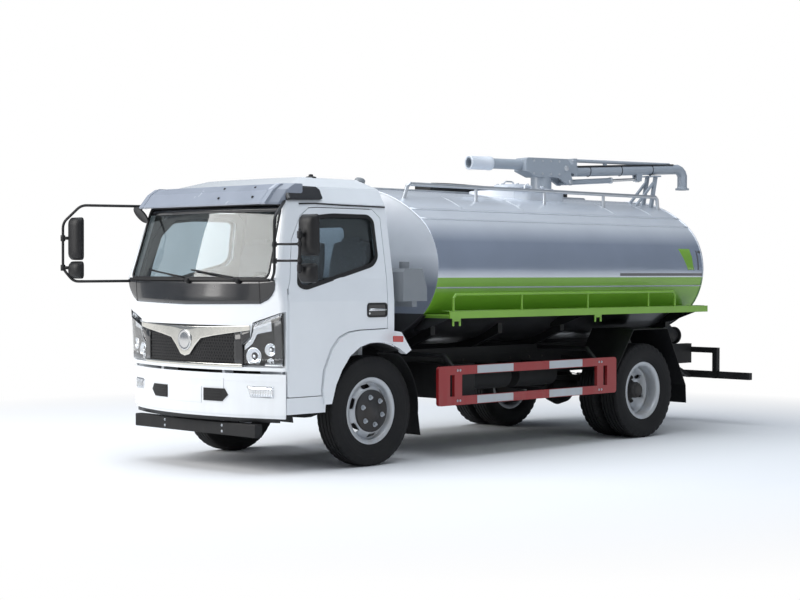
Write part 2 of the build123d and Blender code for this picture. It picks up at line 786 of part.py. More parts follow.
flare_outer = [(620, 577), (640, 701), (612, 869), (530, 1036), (436, 1136), (327, 1176), (205, 1190),
               (-100, 1196), (-301, 1169)]
flare_inner = [(-428, 1006), (-365, 972), (-288, 1019), (-188, 1066), (-63, 1087), (84, 1083), (205, 1052),
               (324, 978), (419, 862), (490, 736), (540, 577)]
door_outline = [(door_hinge_x, 655), (door_hinge_x, 1560), (985, 1640), (925, 1964), (798, 2170), (690, 2238),
                (590, 2245), (-60, 2245), (-145, 2170), (-145, 1207), (205, 1200), (331, 1186), (442, 1144),
                (539, 1041), (621, 870), (648, 702), (640, 655)]
window_outline = [(912, 1585), (880, 1782), (812, 2032), (675, 2170), (430, 2195), (0, 2195), (-60, 2150),
                  (-65, 1821), (5, 1751), (820, 1550)]
windscreen_outline = [(-935, 1645), (935, 1645), (890, 2268), (-890, 2268)]
rear_window_outline = [(-450, 1650), (450, 1650), (450, 2100), (-450, 2100)]
grille_outline = [(-600, 905), (600, 905), (600, 1100), (660, 1247), (-660, 1247), (-600, 1100)]
lamp_outline = [(650, 900), (650, 1085), (735, 1150), (760, 1275), (1070, 1375), (1070, 900)]
window_rounding = 28
grille_depth = 24
lamp_depth = 34
jamb_x = door_hinge_x + door_hinge_radius + door_gap

cab_outer = cab_form(0)
cab_cavity = cab_form(cab_wall)
cab_skin = cab_outer - cab_cavity
cab_clear = cab_form(-seat_gap)
door_opening = side_prism(door_outline, 850, 1100, grow=door_gap)
door_opening += side_prism([(900, 648), (jamb_x, 648), (jamb_x, 1560), (900, 1560)], 980, 1100)
door_sweep = side_prism([(960, 648), (jamb_x, 648), (jamb_x, 885), (960, 885)], 975, 1100)
window_block = side_prism(window_outline, 850, 1100, rounding=window_rounding)
pane_block = side_prism(window_outline, 850, 1100, grow=-seat_gap, rounding=window_rounding)
grille_pocket = (cab_outer - cab_form(grille_depth)) & front_prism(grille_outline, 900, 1300, rounding=20)
lamp_block = front_prism(lamp_outline, jamb_x + 14, 1300, rounding=20)
lamp_pocket = both_sides((cab_outer - cab_form(lamp_depth)) & lamp_block)

hump_half = 360
hump_top = 1215
hinge_arm_inner = 400
hinge_arm_outer = 436
# Room inside above the floor, and the open space under it between the wheel arches.
with BuildPart() as upper_room:
    add(cab_cavity)
    with BuildSketch(level_plane(step_low - 10, 500)):
        Rectangle(2400, 2400)
    extrude(amount=cab_floor - step_low + 10, mode=Mode.SUBTRACT)

with BuildPart() as lower_room:
    add(cab_cavity)
    with BuildSketch(level_plane(cab_pan, 500)):
        Rectangle(2400, 2400)
    extrude(amount=1600, mode=Mode.SUBTRACT)
    for side in (1, -1):
        with BuildSketch(level_plane(step_low - 10, 500, side * 1000)):
            Rectangle(2400, 600)
        extrude(amount=cab_pan, mode=Mode.SUBTRACT)

with BuildPart() as cab_shell:
    add(cab_outer)
    add(upper_room.part, mode=Mode.SUBTRACT)
    add(lower_room.part, mode=Mode.SUBTRACT)
    # Below the front edge only the step boxes stay, from the arches to the corners.
    with BuildSketch(level_plane(step_low - 10, 500)):
        Rectangle(2400, 1400)
    extrude(amount=870 - step_low + 10, mode=Mode.SUBTRACT)
    with BuildSketch(level_plane(step_low - 10, 1326)):
        Rectangle(600, 2400)
    extrude(amount=870 - step_low + 10, mode=Mode.SUBTRACT)
    with BuildSketch(level_plane(step_low - 10, 0)):
        Rectangle(1000, 2400)
    extrude(amount=900 - step_low, mode=Mode.SUBTRACT)
    with BuildSketch(level_plane(step_low, cab_rear)):
        Rectangle(200, 1000)
    extrude(amount=1000 - step_low, mode=Mode.SUBTRACT)
    # Wheel arches, step wells and door openings.
    for side in (1, -1):
        with BuildSketch(side_plane(side * 1200)):
            with Locations((0, axle_height)):
                Circle(arch_radius)
        extrude(amount=side * 560, mode=Mode.SUBTRACT)
        with BuildSketch(side_plane(side * 1100)):
            with Locations((828, 900)):
                Rectangle(326, 480)
        extrude(amount=side * 320, mode=Mode.SUBTRACT)
    add(both_sides(cab_skin & door_opening), mode=Mode.SUBTRACT)
    add(both_sides(door_sweep), mode=Mode.SUBTRACT)
    # Glazing, grille and lamp recesses.
    add(front_prism(windscreen_outline, 800, 1300, rounding=50), mode=Mode.SUBTRACT)
    add(front_prism(rear_window_outline, cab_rear - 50, cab_rear + 80, rounding=50), mode=Mode.SUBTRACT)
    add(grille_pocket, mode=Mode.SUBTRACT)
    add(lamp_pocket, mode=Mode.SUBTRACT)
    # Cover over the engine.
    with BuildSketch(level_plane(cab_floor, 335)):
        Rectangle(1070, 2 * hump_half)
    extrude(amount=hump_top - cab_floor)
    with BuildSketch(level_plane(cab_pan, 315)):
        Rectangle(1090, 2 * hump_half - 100)
    extrude(amount=hump_top - cab_pan - cab_wall, mode=Mode.SUBTRACT)
    for side in (1, -1):
        # Wheel flares stand out from the side.
        with BuildSketch(side_plane(side * 1065)):
            with BuildLine():
                Polyline(*flare_outer, *flare_inner, close=True)
            make_face()
        extrude(amount=side * 70)
        # Sockets that the doors turn in.
        for socket_z in (900, 1300):
            with BuildSketch(level_plane(socket_z, door_hinge_x, side * door_hinge_y)):
                with Locations((15, -side * 16)):
                    Rectangle(30, 32)
                Circle(door_hinge_radius + seat_gap, mode=Mode.SUBTRACT)
            extrude(amount=60)
        # Arms down to the tilting pins.
        with BuildSketch(side_plane(side * hinge_arm_outer)):
            with Locations((cab_pivot_x, cab_pivot_z)):
                Circle(42)
            Polygon((cab_pivot_x - 36, cab_pivot_z), (cab_pivot_x + 36, cab_pivot_z), (1195, 880), (1195, 1100),
                    (1090, 1100), align=None)
            with Locations((cab_pivot_x, cab_pivot_z)):
                Circle(pin_radius + run_gap, mode=Mode.SUBTRACT)
        extrude(amount=side * (hinge_arm_outer - hinge_arm_inner))
save(cab_shell, "cab_shell")

glass_skin = cab_form(14) - cab_form(14 + glass_thickness)
with BuildPart() as windscreen:
    add(glass_skin & front_prism(windscreen_outline, 800, 1300, grow=-seat_gap, rounding=50))
save(windscreen, "windscreen")

with BuildPart() as rear_window:
    with BuildSketch(cross_plane(cab_rear + 20)) as rear_pane:
        with BuildLine():
            Polyline(*rear_window_outline, close=True)
        make_face()
        fillet(rear_pane.vertices(), 50)
        offset(amount=-seat_gap)
    extrude(amount=glass_thickness)
save(rear_window, "rear_window")

door_block = side_prism(door_outline, 850, 1100)
door_pane_skin = cab_form(20) - cab_form(20 + glass_thickness)
with BuildPart() as door_left:
    add(cab_skin & door_block)
    with BuildSketch(level_plane(660, door_hinge_x, door_hinge_y)):
        Circle(door_hinge_radius)
    extrude(amount=850)
    add(window_block, mode=Mode.SUBTRACT)
save(door_left, "door_left")

with BuildPart() as door_glass_left:
    add(door_pane_skin & pane_block)
save(door_glass_left, "door_glass_left")

with BuildPart() as door_right:
    add(mirror(door_left.part, about=Plane.XZ))
save(door_right, "door_right")

with BuildPart() as door_glass_right:
    add(mirror(door_glass_left.part, about=Plane.XZ))
save(door_glass_right, "door_glass_right")

with BuildPart() as grille:
    add(cab_form(10) & front_prism(grille_outline, 900, 1300, grow=-seat_gap, rounding=20))
    add(cab_form(grille_depth - seat_gap), mode=Mode.SUBTRACT)
save(grille, "grille")

lamp_lens = front_prism(lamp_outline, jamb_x + 14 + seat_gap, 1300, grow=-seat_gap, rounding=20)
with BuildPart() as headlights:
    add(both_sides((cab_outer - cab_form(lamp_depth - seat_gap)) & lamp_lens))
save(headlights, "headlights")

with BuildPart() as bumper:
    with BuildSketch(level_plane(bumper_low)) as bumper_plan:
        with BuildLine():
            arc_end = 1283 - 2300 + sqrt(2300 ** 2 - 1050 ** 2)
            ThreePointArc((arc_end, -1050), (1283, 0), (arc_end, 1050))
            Polyline((arc_end, 1050), (800, 1050), (800, -1050), (arc_end, -1050))
        make_face()
        fillet(bumper_plan.vertices().group_by(Axis.X)[-1], 50)
        offset(amount=-bumper_wall, mode=Mode.SUBTRACT)
        with Locations((734, 0)):
            Rectangle(600, 2400, mode=Mode.SUBTRACT)
    extrude(amount=bumper_high - bumper_low)
    for side in (1, -1):
        with BuildSketch(side_plane(side * (hinge_arm_outer + seat_gap + 30))):
            Polygon((1130, 680), (1240, 640), (1240, 800), (1150, 800), align=None)
        extrude(amount=side * 30)
save(bumper, "bumper")

with BuildPart() as roof_visor:
    with BuildSketch(side_plane(860)):
        with BuildLine():
            Polyline((1045, 2280), (1115, 2264), (1122, 2276), (1030, 2385), (940, 2440), (860, 2440),
                     (860, 2380), close=True)
        make_face()
    extrude(amount=1720)
    add(cab_clear, mode=Mode.SUBTRACT)
save(roof_visor, "roof_visor")

with BuildPart() as dashboard:
    add(cab_form(cab_wall + seat_gap) & side_prism([(1300, 1250), (900, 1280), (850, 1440), (900, 1570), (1060, 1600),
                                                   (1300, 1590)], -935, 935))
save(dashboard, "dashboard")

wheel_y = 480
with BuildPart() as steering_wheel:
    wheel_plane = Plane(origin=(front_axle_x + 700, wheel_y, 1560), z_dir=(-0.6, 0, 0.8))
    with BuildSketch(wheel_plane):
        Circle(200)
        Circle(172, mode=Mode.SUBTRACT)
        Rectangle(40, 350)
        Circle(60)
    extrude(amount=26)
    with BuildSketch(wheel_plane):
        Circle(30)
    extrude(amount=-330)
    add(dashboard.part, mode=Mode.SUBTRACT)
save(steering_wheel, "steering_wheel")

seat_rows = [(620, 500, cab_floor), (0, 560, hump_top), (-620, 500, cab_floor)]
with BuildPart() as seats:
    for seat_y, seat_width, base_z in seat_rows:
        with BuildSketch(side_plane(seat_y + seat_width / 2)):
            with BuildLine():
                Polyline((-100, base_z + seat_gap), (400, base_z + seat_gap), (430, 1340), (440, 1440), (420, 1470),
                         (60, 1450), (-60, 2000), (-150, 2010), (-150, 1950), (-60, 1400), close=True)
            make_face()
        extrude(amount=seat_width)
save(seats, "seats")

# Mirrors: tube frames from the roof corner to the cowl corner, their housings on upright posts.
tube = 12
with BuildPart() as mirror_left:
    add(tube_run([(930, 905, 2290), (1222, 1100, 2150), (1222, 1100, 1700), (1120, 930, 1625)], tube, bend=60))
    for arm_z in (1925, 1790):
        add(tube_run([(1222, 1100, arm_z), (1203, 1386, arm_z)], tube - 2))
    with BuildSketch(level_plane(1690, 1203, 1386)):
        Circle(tube)
    extrude(amount=360)
    with BuildSketch(level_plane(1830, 1120, 1390)):
        RectangleRounded(86, 200, 25)
    extrude(amount=340)
    with BuildSketch(level_plane(1610, 1130, 1390)):
        RectangleRounded(80, 190, 25)
    extrude(amount=160)
    with BuildSketch(side_plane(1400)):
        with Locations((1180, 2000), (1180, 1730)):
            Rectangle(60, 30)
    extrude(amount=28)
    add(cab_clear, mode=Mode.SUBTRACT)
save(mirror_left, "mirror_left")

hoop_x = 1500
hoop_y = -1500
with BuildPart() as mirror_right:
    add(tube_run([(930, -905, 2290), (1390, -1370, 2300), (hoop_x, hoop_y, 2140), (hoop_x, hoop_y, 1720),
                  (1440, -1420, 1605), (1120, -930, 1610)], tube, bend=50))
    with BuildSketch(level_plane(1800, 1440, -1400)):
        RectangleRounded(80, 180, 25)
    extrude(amount=390)
    with BuildSketch(level_plane(1630, 1440, -1400)):
        RectangleRounded(80, 180, 25)
    extrude(amount=160)
    with BuildSketch(cross_plane(1450)):
        with Locations((-1480, 2000), (-1480, 1730)):
            Rectangle(40, 30)
    extrude(amount=50)
    add(cab_clear, mode=Mode.SUBTRACT)
save(mirror_right, "mirror_right")

# ---------------------------------------------------------------- running gear
lug_radius = 42
web_near = kingpin_half + 43
web_far = kingpin_half + 75
spindle_radius = 32
spindle_end = kingpin_half + 195
drum_near = kingpin_half + 82
drum_radius = 190
rim_seat_radius = 268
rim_flange_radius = 297
rim_half = 82
rim_flange = 8
front_hub_end = kingpin_half + 225


def knuckle(side):
    with BuildPart() as fork:
        for low, high in ((axle_height - fist_half - 31, axle_height - fist_half - seat_gap),
                          (axle_height + fist_half + seat_gap, axle_height + fist_half + 31)):
            with BuildSketch(level_plane(low, y=side * kingpin_half)):
                Circle(lug_radius)
                with Locations((0, side * (web_far - kingpin_half) / 2)):
                    Rectangle(2 * lug_radius - 8, web_far - kingpin_half)
            extrude(amount=high - low)
        with BuildSketch(level_plane(axle_height - fist_half - 31, y=side * (web_near + web_far) / 2)):
            Rectangle(100, web_far - web_near)
        extrude(amount=2 * fist_half + 62)
        with BuildSketch(level_plane(axle_height - fist_half - 20, y=side * kingpin_half)):
            Circle(kingpin_radius)
        extrude(amount=2 * fist_half + 40)
        with BuildSketch(side_plane(side * spindle_end)):
            with Locations((0, axle_height)):
                Circle(spindle_radius)
        extrude(amount=side * (spindle_end - web_far))
    return fork.part


def tyre(centre, x):
    """A tyre about the axle at x, its centre plane at y = centre; profile in radius and width."""
    bead = rim_seat_radius + seat_gap
    half = tyre_width / 2
    seat = rim_half - rim_flange - seat_gap
    with BuildPart() as ring:
        with BuildSketch(level_plane(axle_height, x, centre)):
            with BuildLine():
                Polyline((bead, -seat), (rim_flange_radius + 3, -seat), (400, -half), (tyre_radius - 34, -half),
                         (tyre_radius, -half + 34), (tyre_radius, half - 34), (tyre_radius - 34, half), (400, half),
                         (rim_flange_radius + 3, seat), (bead, seat), close=True)
            make_face()
        revolve(axis=Axis((front_axle_x + x, centre, axle_height), (0, 1, 0)))
    return ring.part


def rim(side, centre, x, profile, bore):
    """A wheel about the axle at x: a barrel with flanges plus the disc and hub given by a profile."""
    with BuildPart() as wheel:
        with BuildSketch(level_plane(axle_height, x)):
            with BuildLine():
                Polyline((rim_flange_radius, centre - rim_half), (rim_flange_radius, centre - rim_half + rim_flange),
                         (rim_seat_radius, centre - rim_half + rim_flange),
                         (rim_seat_radius, centre + rim_half - rim_flange),
                         (rim_flange_radius, centre + rim_half - rim_flange), (rim_flange_radius, centre + rim_half),
                         (rim_seat_radius - 12, centre + rim_half), (rim_seat_radius - 12, centre - rim_half),
                         close=True)
            make_face()
            with BuildLine():
                Polyline(*[(r, side * y) for r, y in profile], close=True)
            make_face()
        revolve(axis=Axis((front_axle_x + x, 0, axle_height), (0, 1, 0)))
        if bore:
            with BuildSketch(side_plane(0)):
                with Locations((x, axle_height)):
                    Circle(bore[0])
            extrude(amount=-side * bore[1], mode=Mode.SUBTRACT)
    return wheel.part


front_profile = [(0, drum_near), (drum_radius, drum_near), (drum_radius, front_track_half - 5),
                 (150, front_track_half + 7), (rim_seat_radius - 6, front_track_half + 30),
                 (rim_seat_radius - 6, front_track_half + 45), (130, front_track_half + 45),
                 (118, front_hub_end - 12), (95, front_hub_end), (0, front_hub_end)]
outer_profile = [(0, 700), (200, 700), (200, 790), (118, 800), (118, 897.3), (175, 897.3), (210, 950),
                 (rim_seat_radius - 6, 985), (rim_seat_radius - 6, 1000), (195, 965), (160, 912), (118, 912),
                 (118, 1060), (95, 1075), (0, 1075)]
inner_profile = [(118.3, 896.7), (175, 896.7), (210, 845), (rim_seat_radius - 6, 810), (rim_seat_radius - 6, 795),
                 (195, 830), (160, 882), (118.3, 882)]

for side, name in ((1, "left"), (-1, "right")):
    with BuildPart() as knuckle_piece:
        add(knuckle(side))
    save(knuckle_piece, f"knuckle_{name}")

    with BuildPart() as front_rim:
        add(rim(side, side * front_track_half, 0, front_profile, (spindle_radius + run_gap, spindle_end + 5)))
    save(front_rim, f"front_rim_{name}")

    with BuildPart() as front_tyre:
        add(tyre(side * front_track_half, 0))
    save(front_tyre, f"front_tyre_{name}")

    with BuildPart() as rear_rims:
        add(rim(side, side * rear_outer_half, -wheelbase, outer_profile,
                (rear_spindle_radius + run_gap, rear_spindle_end + 5)))
        add(rim(side, side * rear_inner_half, -wheelbase, inner_profile, None))
    save(rear_rims, f"rear_rims_{name}")

    with BuildPart() as rear_tyres:
        add(tyre(side * rear_outer_half, -wheelbase))
        add(tyre(side * rear_inner_half, -wheelbase))
    save(rear_tyres, f"rear_tyres_{name}")

# ---------------------------------------------------------------- swing boom
cheek_inner = 75
cheek_outer = 110
pipe_radius = 54
tail_pipe_z = 2828
luff_pin_radius = 20
lift_pin_radius = 14
eye_pin_radius = 12
with BuildPart() as boom_turret:
    with BuildSketch(boom_level(ring_top + seat_gap)):
        Circle(cheek_outer)
    extrude(amount=2720 - ring_top - seat_gap)
    with BuildSketch(boom_level(ring_top - 35)):
        Circle(spigot_radius)
    extrude(amount=60)
    with BuildSketch(boom_side(cheek_outer)):
        with BuildLine():
            Polyline((240, 2900), (-270, 2900), (-305, 2860), (-305, 2760), (lift_u - 32, lift_z + 30),
                     (lift_u - 30, lift_z - 18), (lift_u - 14, lift_z - 30), (lift_u + 16, lift_z - 30),
                     (-175, 2690), (-105, 2700), (120, 2700), (270, 2760), (270, 2880), close=True)
        make_face()
    extrude(amount=2 * cheek_outer)
    with BuildSketch(boom_side(cheek_inner)):
        with Locations((-260, 2800)):
            Rectangle(320, 500)
    extrude(amount=2 * cheek_inner, mode=Mode.SUBTRACT)
    for pin_u, pin_z, radius in ((luff_u, luff_z, luff_pin_radius), (lift_u, lift_z, lift_pin_radius)):
        with BuildSketch(boom_side(cheek_outer)):
            with Locations((pin_u, pin_z)):
                Circle(radius)
        extrude(amount=2 * cheek_outer)
    with BuildSketch(boom_cross(200)):
        with Locations((0, tail_pipe_z)):
            Circle(pipe_radius)
    extrude(amount=520)
    with BuildSketch(boom_cross(700)):
        with Locations((0, tail_pipe_z)):
            Circle(68)
    extrude(amount=220)
    with BuildSketch(boom_cross(800)):
        with Locations((0, tail_pipe_z)):
            Circle(pipe_radius - 4)
    extrude(amount=120, mode=Mode.SUBTRACT)
save(boom_turret, "boom_turret")

down_u = -1940
down_low = 2615
boom_lug = 66
rail_z = 2893
end_plate_u = -400
elbow_u = -1800           # joint between the straight pipe and its elbow
pipe_path = [(end_plate_u - 20, 2775), (down_u, 2849), (down_u, down_low)]
with BuildPart() as boom_arm:
    add(tube_run([(boom_x + u * boom_heading[0], u * boom_heading[1], z) for u, z in pipe_path], pipe_radius,
                 bend=95, mitres=4))
    with BuildSketch(boom_level(down_low)):
        with Locations((down_u, 0)):
            Circle(75)
    extrude(amount=22)
    with BuildSketch(boom_level(down_low)):
        with Locations((down_u, 0)):
            Circle(pipe_radius - 4)
    extrude(amount=90, mode=Mode.SUBTRACT)
    with BuildSketch(boom_side(boom_lug)):
        with Locations((luff_u, luff_z)):
            Circle(45)
        Polygon((luff_u, luff_z - 40), (luff_u, luff_z + 40), (end_plate_u, 2850), (end_plate_u, 2750), align=None)
        Polygon((end_plate_u + 15, 2722), (end_plate_u + 15, 2912), (end_plate_u - 25, 2912),
                (end_plate_u - 25, 2722), align=None)
        with Locations((luff_u, luff_z)):
            Circle(luff_pin_radius + run_gap, mode=Mode.SUBTRACT)
    extrude(amount=2 * boom_lug)
    with BuildSketch(boom_cross(end_plate_u)):
        with Locations((0, rail_z)):
            Circle(19)
    extrude(amount=-1350)
    for clip_u in (-850, -1300, -1730):
        with BuildSketch(boom_side(12)):
            with Locations((clip_u, 2860)):
                Rectangle(40, 60)
        extrude(amount=24)
    with BuildSketch(boom_cross(elbow_u)):
        with Locations((0, pipe_path[1][1])):
            Rectangle(3 * pipe_radius, 3 * pipe_radius)
    extrude(amount=seat_gap, mode=Mode.SUBTRACT)
save(boom_arm, "boom_arm")

with BuildPart() as boom_clevis:
    for lug_v in (44, -22):
        with BuildSketch(boom_side(lug_v)):
            Polygon((eye_u - 40, 2790), (eye_u + 40, 2790), (eye_u + 26, eye_z - 24), (eye_u - 26, eye_z - 24),
                    align=None)
        extrude(amount=22)
    with BuildSketch(boom_side(44)):
        with Locations((eye_u, eye_z)):
            Circle(eye_pin_radius)
    extrude(amount=88)
    add(tube_run([(boom_x + u * boom_heading[0], u * boom_heading[1], z) for u, z in pipe_path[:2]],
                 pipe_radius + seat_gap, bend=95, mitres=4), mode=Mode.SUBTRACT)
save(boom_clevis, "boom_clevis")

# Lift cylinder under the pipe. Its rod's eye leaves the pin free to move a little.
lift_run = lift_u - eye_u
lift_rise = eye_z - lift_z
lift_length = hypot(lift_run, lift_rise)
lift_direction = (-lift_run * boom_heading[0], -lift_run * boom_heading[1], lift_rise)
lift_foot = (front_axle_x + boom_x + lift_u * boom_heading[0], lift_u * boom_heading[1], lift_z)
lift_plane = Plane(origin=lift_foot, x_dir=boom_across, z_dir=lift_direction)
barrel_radius = 29
rod_radius = 16
barrel_end = 640
eye_slack = 10
with BuildPart() as luff_barrel:
    with BuildSketch(lift_plane.offset(20)):
        Circle(barrel_radius)
    extrude(amount=barrel_end - 20)
    with BuildSketch(boom_side(30)):
        with Locations((lift_u, lift_z)):
            Circle(28)
    extrude(amount=60)
    with BuildSketch(boom_side(30)):
        with Locations((lift_u, lift_z)):
            Circle(lift_pin_radius + run_gap)
    extrude(amount=60, mode=Mode.SUBTRACT)
    with BuildSketch(lift_plane.offset(barrel_end - 400)):
        Circle(rod_radius + run_gap)
    extrude(amount=400, mode=Mode.SUBTRACT)
save(luff_barrel, "luff_barrel")

with BuildPart() as luff_rod:
    with BuildSketch(lift_plane.offset(barrel_end - 350)):
        Circle(rod_radius)
    extrude(amount=lift_length - barrel_end + 350 - 12)
    with BuildSketch(boom_side(18)):
        with Locations((eye_u, eye_z)):
            Circle(34)
    extrude(amount=36)
    with BuildSketch(boom_side(60)):
        with Locations((eye_u, eye_z)):
            Circle(eye_pin_radius + eye_slack)
    extrude(amount=120, mode=Mode.SUBTRACT)
save(luff_rod, "luff_rod")

# Rest for the parked boom, on the tank behind the dome.
rest_u = -1500
rest_high = 2764
rest_half = 100
with BuildPart() as boom_rest:
    with BuildSketch(boom_side(rest_half)):
        with Locations((rest_u, rest_high - 8)):
            Rectangle(110, 16)
    extrude(amount=2 * rest_half)
    for post_v in (-70, 70):
        with BuildSketch(boom_side(post_v + 15)):
            Polygon((rest_u - 20, rest_high - 10), (rest_u + 20, rest_high - 10), (rest_u + 90, 2380),
                    (rest_u + 50, 2380), align=None)
            Polygon((rest_u + 10, 2690), (rest_u + 40, 2690), (rest_u + 330, 2380), (rest_u + 300, 2380), align=None)
        extrude(amount=30)
    add(tank_form, mode=Mode.SUBTRACT)
save(boom_rest, "boom_rest")
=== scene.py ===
"""Vacuum tanker truck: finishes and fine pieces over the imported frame. Metres, +X forward."""
import bpy
import bmesh
from functools import cached_property
from math import asin, cos, pi, radians, sin, sqrt
from mathutils import Matrix, Vector


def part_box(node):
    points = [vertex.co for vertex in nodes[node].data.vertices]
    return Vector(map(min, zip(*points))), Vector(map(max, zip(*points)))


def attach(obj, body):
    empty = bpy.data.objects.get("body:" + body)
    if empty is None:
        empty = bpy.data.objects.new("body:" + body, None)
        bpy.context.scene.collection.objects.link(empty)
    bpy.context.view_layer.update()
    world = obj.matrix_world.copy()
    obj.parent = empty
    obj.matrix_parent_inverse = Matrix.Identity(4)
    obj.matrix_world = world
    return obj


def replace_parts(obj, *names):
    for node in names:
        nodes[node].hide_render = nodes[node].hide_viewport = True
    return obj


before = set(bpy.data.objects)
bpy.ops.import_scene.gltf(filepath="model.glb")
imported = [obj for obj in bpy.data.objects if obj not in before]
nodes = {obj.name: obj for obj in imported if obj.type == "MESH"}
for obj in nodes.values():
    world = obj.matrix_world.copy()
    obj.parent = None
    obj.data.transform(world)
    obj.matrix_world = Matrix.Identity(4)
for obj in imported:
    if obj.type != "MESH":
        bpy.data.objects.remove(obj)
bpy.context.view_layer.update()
front_tyre_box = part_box("front_tyre_left")
front_axle_x = (front_tyre_box[0].x + front_tyre_box[1].x) / 2
rear_axle_x = -3.800
SIDES = ((1, "left"), (-1, "right"))
ALONG_Y, UP = (0, 1, 0), (0, 0, 1)


def at(x, y, z):
    """A point given from the ground under the front axle."""
    return Vector((front_axle_x + x, y, z))


# ------------------------------------------------------------------ shader tools
class Shading:
    """Short ways to add nodes to a shader tree. A value is a number, a colour or another node's socket."""

    def __init__(self, graph):
        self.graph = graph

    def feed(self, socket, value):
        if isinstance(value, bpy.types.NodeSocket):
            self.graph.links.new(value, socket)
        else:
            socket.default_value = value

    def put(self, kind, settings=None, **values):
        made = self.graph.nodes.new(kind)
        for name, value in (settings or {}).items():
            setattr(made, name, value)
        for name, value in values.items():
            self.feed(made.inputs[name.replace("_", " ")], value)
        return made

    def math(self, operation, first, second=0.5, clamp=False):
        made = self.put("ShaderNodeMath", {"operation": operation, "use_clamp": clamp})
        for socket, value in zip(made.inputs, (first, second)):
            self.feed(socket, value)
        return made.outputs[0]

    def times(self, first, second, clamp=False):
        return self.math("MULTIPLY", first, second, clamp)

    def plus(self, first, second, clamp=False):
        return self.math("ADD", first, second, clamp)

    def minus(self, first, second):
        return self.math("SUBTRACT", first, second)

    def beyond(self, value, limit):
        """How far a value is past a limit, or nothing."""
        return self.math("MAXIMUM", self.minus(value, limit), 0.0)

    def less(self, first, second):
        return self.math("LESS_THAN", first, second)

    def greater(self, first, second):
        return self.math("GREATER_THAN", first, second)

    def mix(self, share, first, second, kind="MIX"):
        made = self.put("ShaderNodeMix", {"data_type": "RGBA", "blend_type": kind})
        for socket, value in ((made.inputs[0], share), (made.inputs[6], first), (made.inputs[7], second)):
            self.feed(socket, value)
        return made.outputs[2]

    def either(self, share, first, second):
        """A shader that is part one, part another."""
        made = self.put("ShaderNodeMixShader")
        for socket, value in zip(made.inputs, (share, first.outputs[0], second.outputs[0])):
            self.feed(socket, value)
        return made.outputs[0]

    def shaded(self, colour, shade):
        grey = self.put("ShaderNodeCombineColor", Red=shade, Green=shade, Blue=shade).outputs[0]
        return self.mix(1.0, colour, grey, "MULTIPLY")

    def ramp(self, value, low, high, to_low=0.0, to_high=1.0):
        return self.put("ShaderNodeMapRange", {"clamp": True}, Value=value, From_Min=low, From_Max=high,
                        To_Min=to_low, To_Max=to_high).outputs[0]

    @cached_property
    def place(self):
        return self.put("ShaderNodeTexCoord").outputs["Object"]

    @cached_property
    def split(self):
        return self.put("ShaderNodeSeparateXYZ", Vector=self.place).outputs

    def stretched(self, *scale):
        return self.put("ShaderNodeMapping", Vector=self.place, Scale=scale).outputs[0]

    def noise(self, scale, detail, place=None):
        return self.put("ShaderNodeTexNoise", Vector=self.place if place is None else place, Scale=scale,
                        Detail=detail).outputs["Fac"]

    def bump(self, strength, distance, height):
        return self.put("ShaderNodeBump", Strength=strength, Distance=distance, Height=height).outputs[0]


def effect(recipe, takes, gives=("Color", "Roughness", "Normal")):
    """A shader node group. The recipe draws it from the group's inputs and returns its outputs by name."""
    group = bpy.data.node_groups.new(recipe.__name__.replace("_", " "), "ShaderNodeTree")
    for label, value in takes.items():
        kind = "NodeSocketFloat" if isinstance(value, float) else "NodeSocketColor"
        group.interface.new_socket(label, in_out="INPUT", socket_type=kind).default_value = value
    for label in gives:
        kind = {"Color": "NodeSocketColor", "Normal": "NodeSocketVector"}.get(label, "NodeSocketFloat")
        group.interface.new_socket(label, in_out="OUTPUT", socket_type=kind)
    given, result = group.nodes.new("NodeGroupInput"), group.nodes.new("NodeGroupOutput")
    for label, socket in recipe(Shading(group), given.outputs).items():
        group.links.new(socket, result.inputs[label])
    return group


def paint_film(tree, given):
    """Sprayed paint: a faint unevenness, road dust that thickens towards the ground, orange peel."""
    cloudy = tree.noise(1.7, 4.0)
    streaks = tree.noise(2.2, 5.0, tree.stretched(6.0, 6.0, 0.9))
    low_down = tree.times(tree.ramp(tree.split["Z"], 1.25, 0.45), given["Dust share"])
    dust = tree.times(low_down, tree.ramp(streaks, 0.3, 0.7), clamp=True)
    varied = tree.shaded(given["Paint"], tree.ramp(cloudy, 0.25, 0.75, 0.94, 1.03))
    rough = tree.plus(given["Gloss loss"], tree.times(dust, 0.5))
    return {"Color": tree.mix(dust, varied, given["Dust"]),
            "Roughness": tree.plus(rough, tree.ramp(cloudy, 0.3, 0.7, -0.03, 0.05), clamp=True),
            "Normal": tree.bump(given["Peel"], 0.0012, tree.noise(260.0, 2.0))}


def rolled_metal(tree, given):
    """Bare or polished metal: long drawn streaks, dull patches and fine scratches."""
    streak = tree.noise(6.0, 4.0, tree.stretched(1.5, 40.0, 40.0))
    rough = tree.plus(given["Dull"], tree.ramp(streak, 0.3, 0.7, -0.06, 0.10), clamp=True)
    return {"Color": tree.shaded(given["Metal"], tree.ramp(tree.noise(5.0, 3.0), 0.3, 0.7, 0.86, 1.0)),
            "Roughness": rough, "Normal": tree.bump(given["Scratch"], 0.0008, streak)}


def moulded_skin(tree, given):
    """Moulded plastic or rubber: a fine grain, sun fading and dust in the hollows."""
    share = tree.times(tree.ramp(tree.noise(4.0, 5.0), 0.35, 0.75), given["Fade share"])
    cells = tree.put("ShaderNodeTexVoronoi", Vector=tree.place, Scale=given["Grain size"])
    return {"Color": tree.mix(share, given["Base"], given["Faded"]),
            "Roughness": tree.plus(given["Sheen loss"], tree.times(share, 0.3), clamp=True),
            "Normal": tree.bump(given["Grain depth"], 0.0006, cells.outputs["Distance"])}


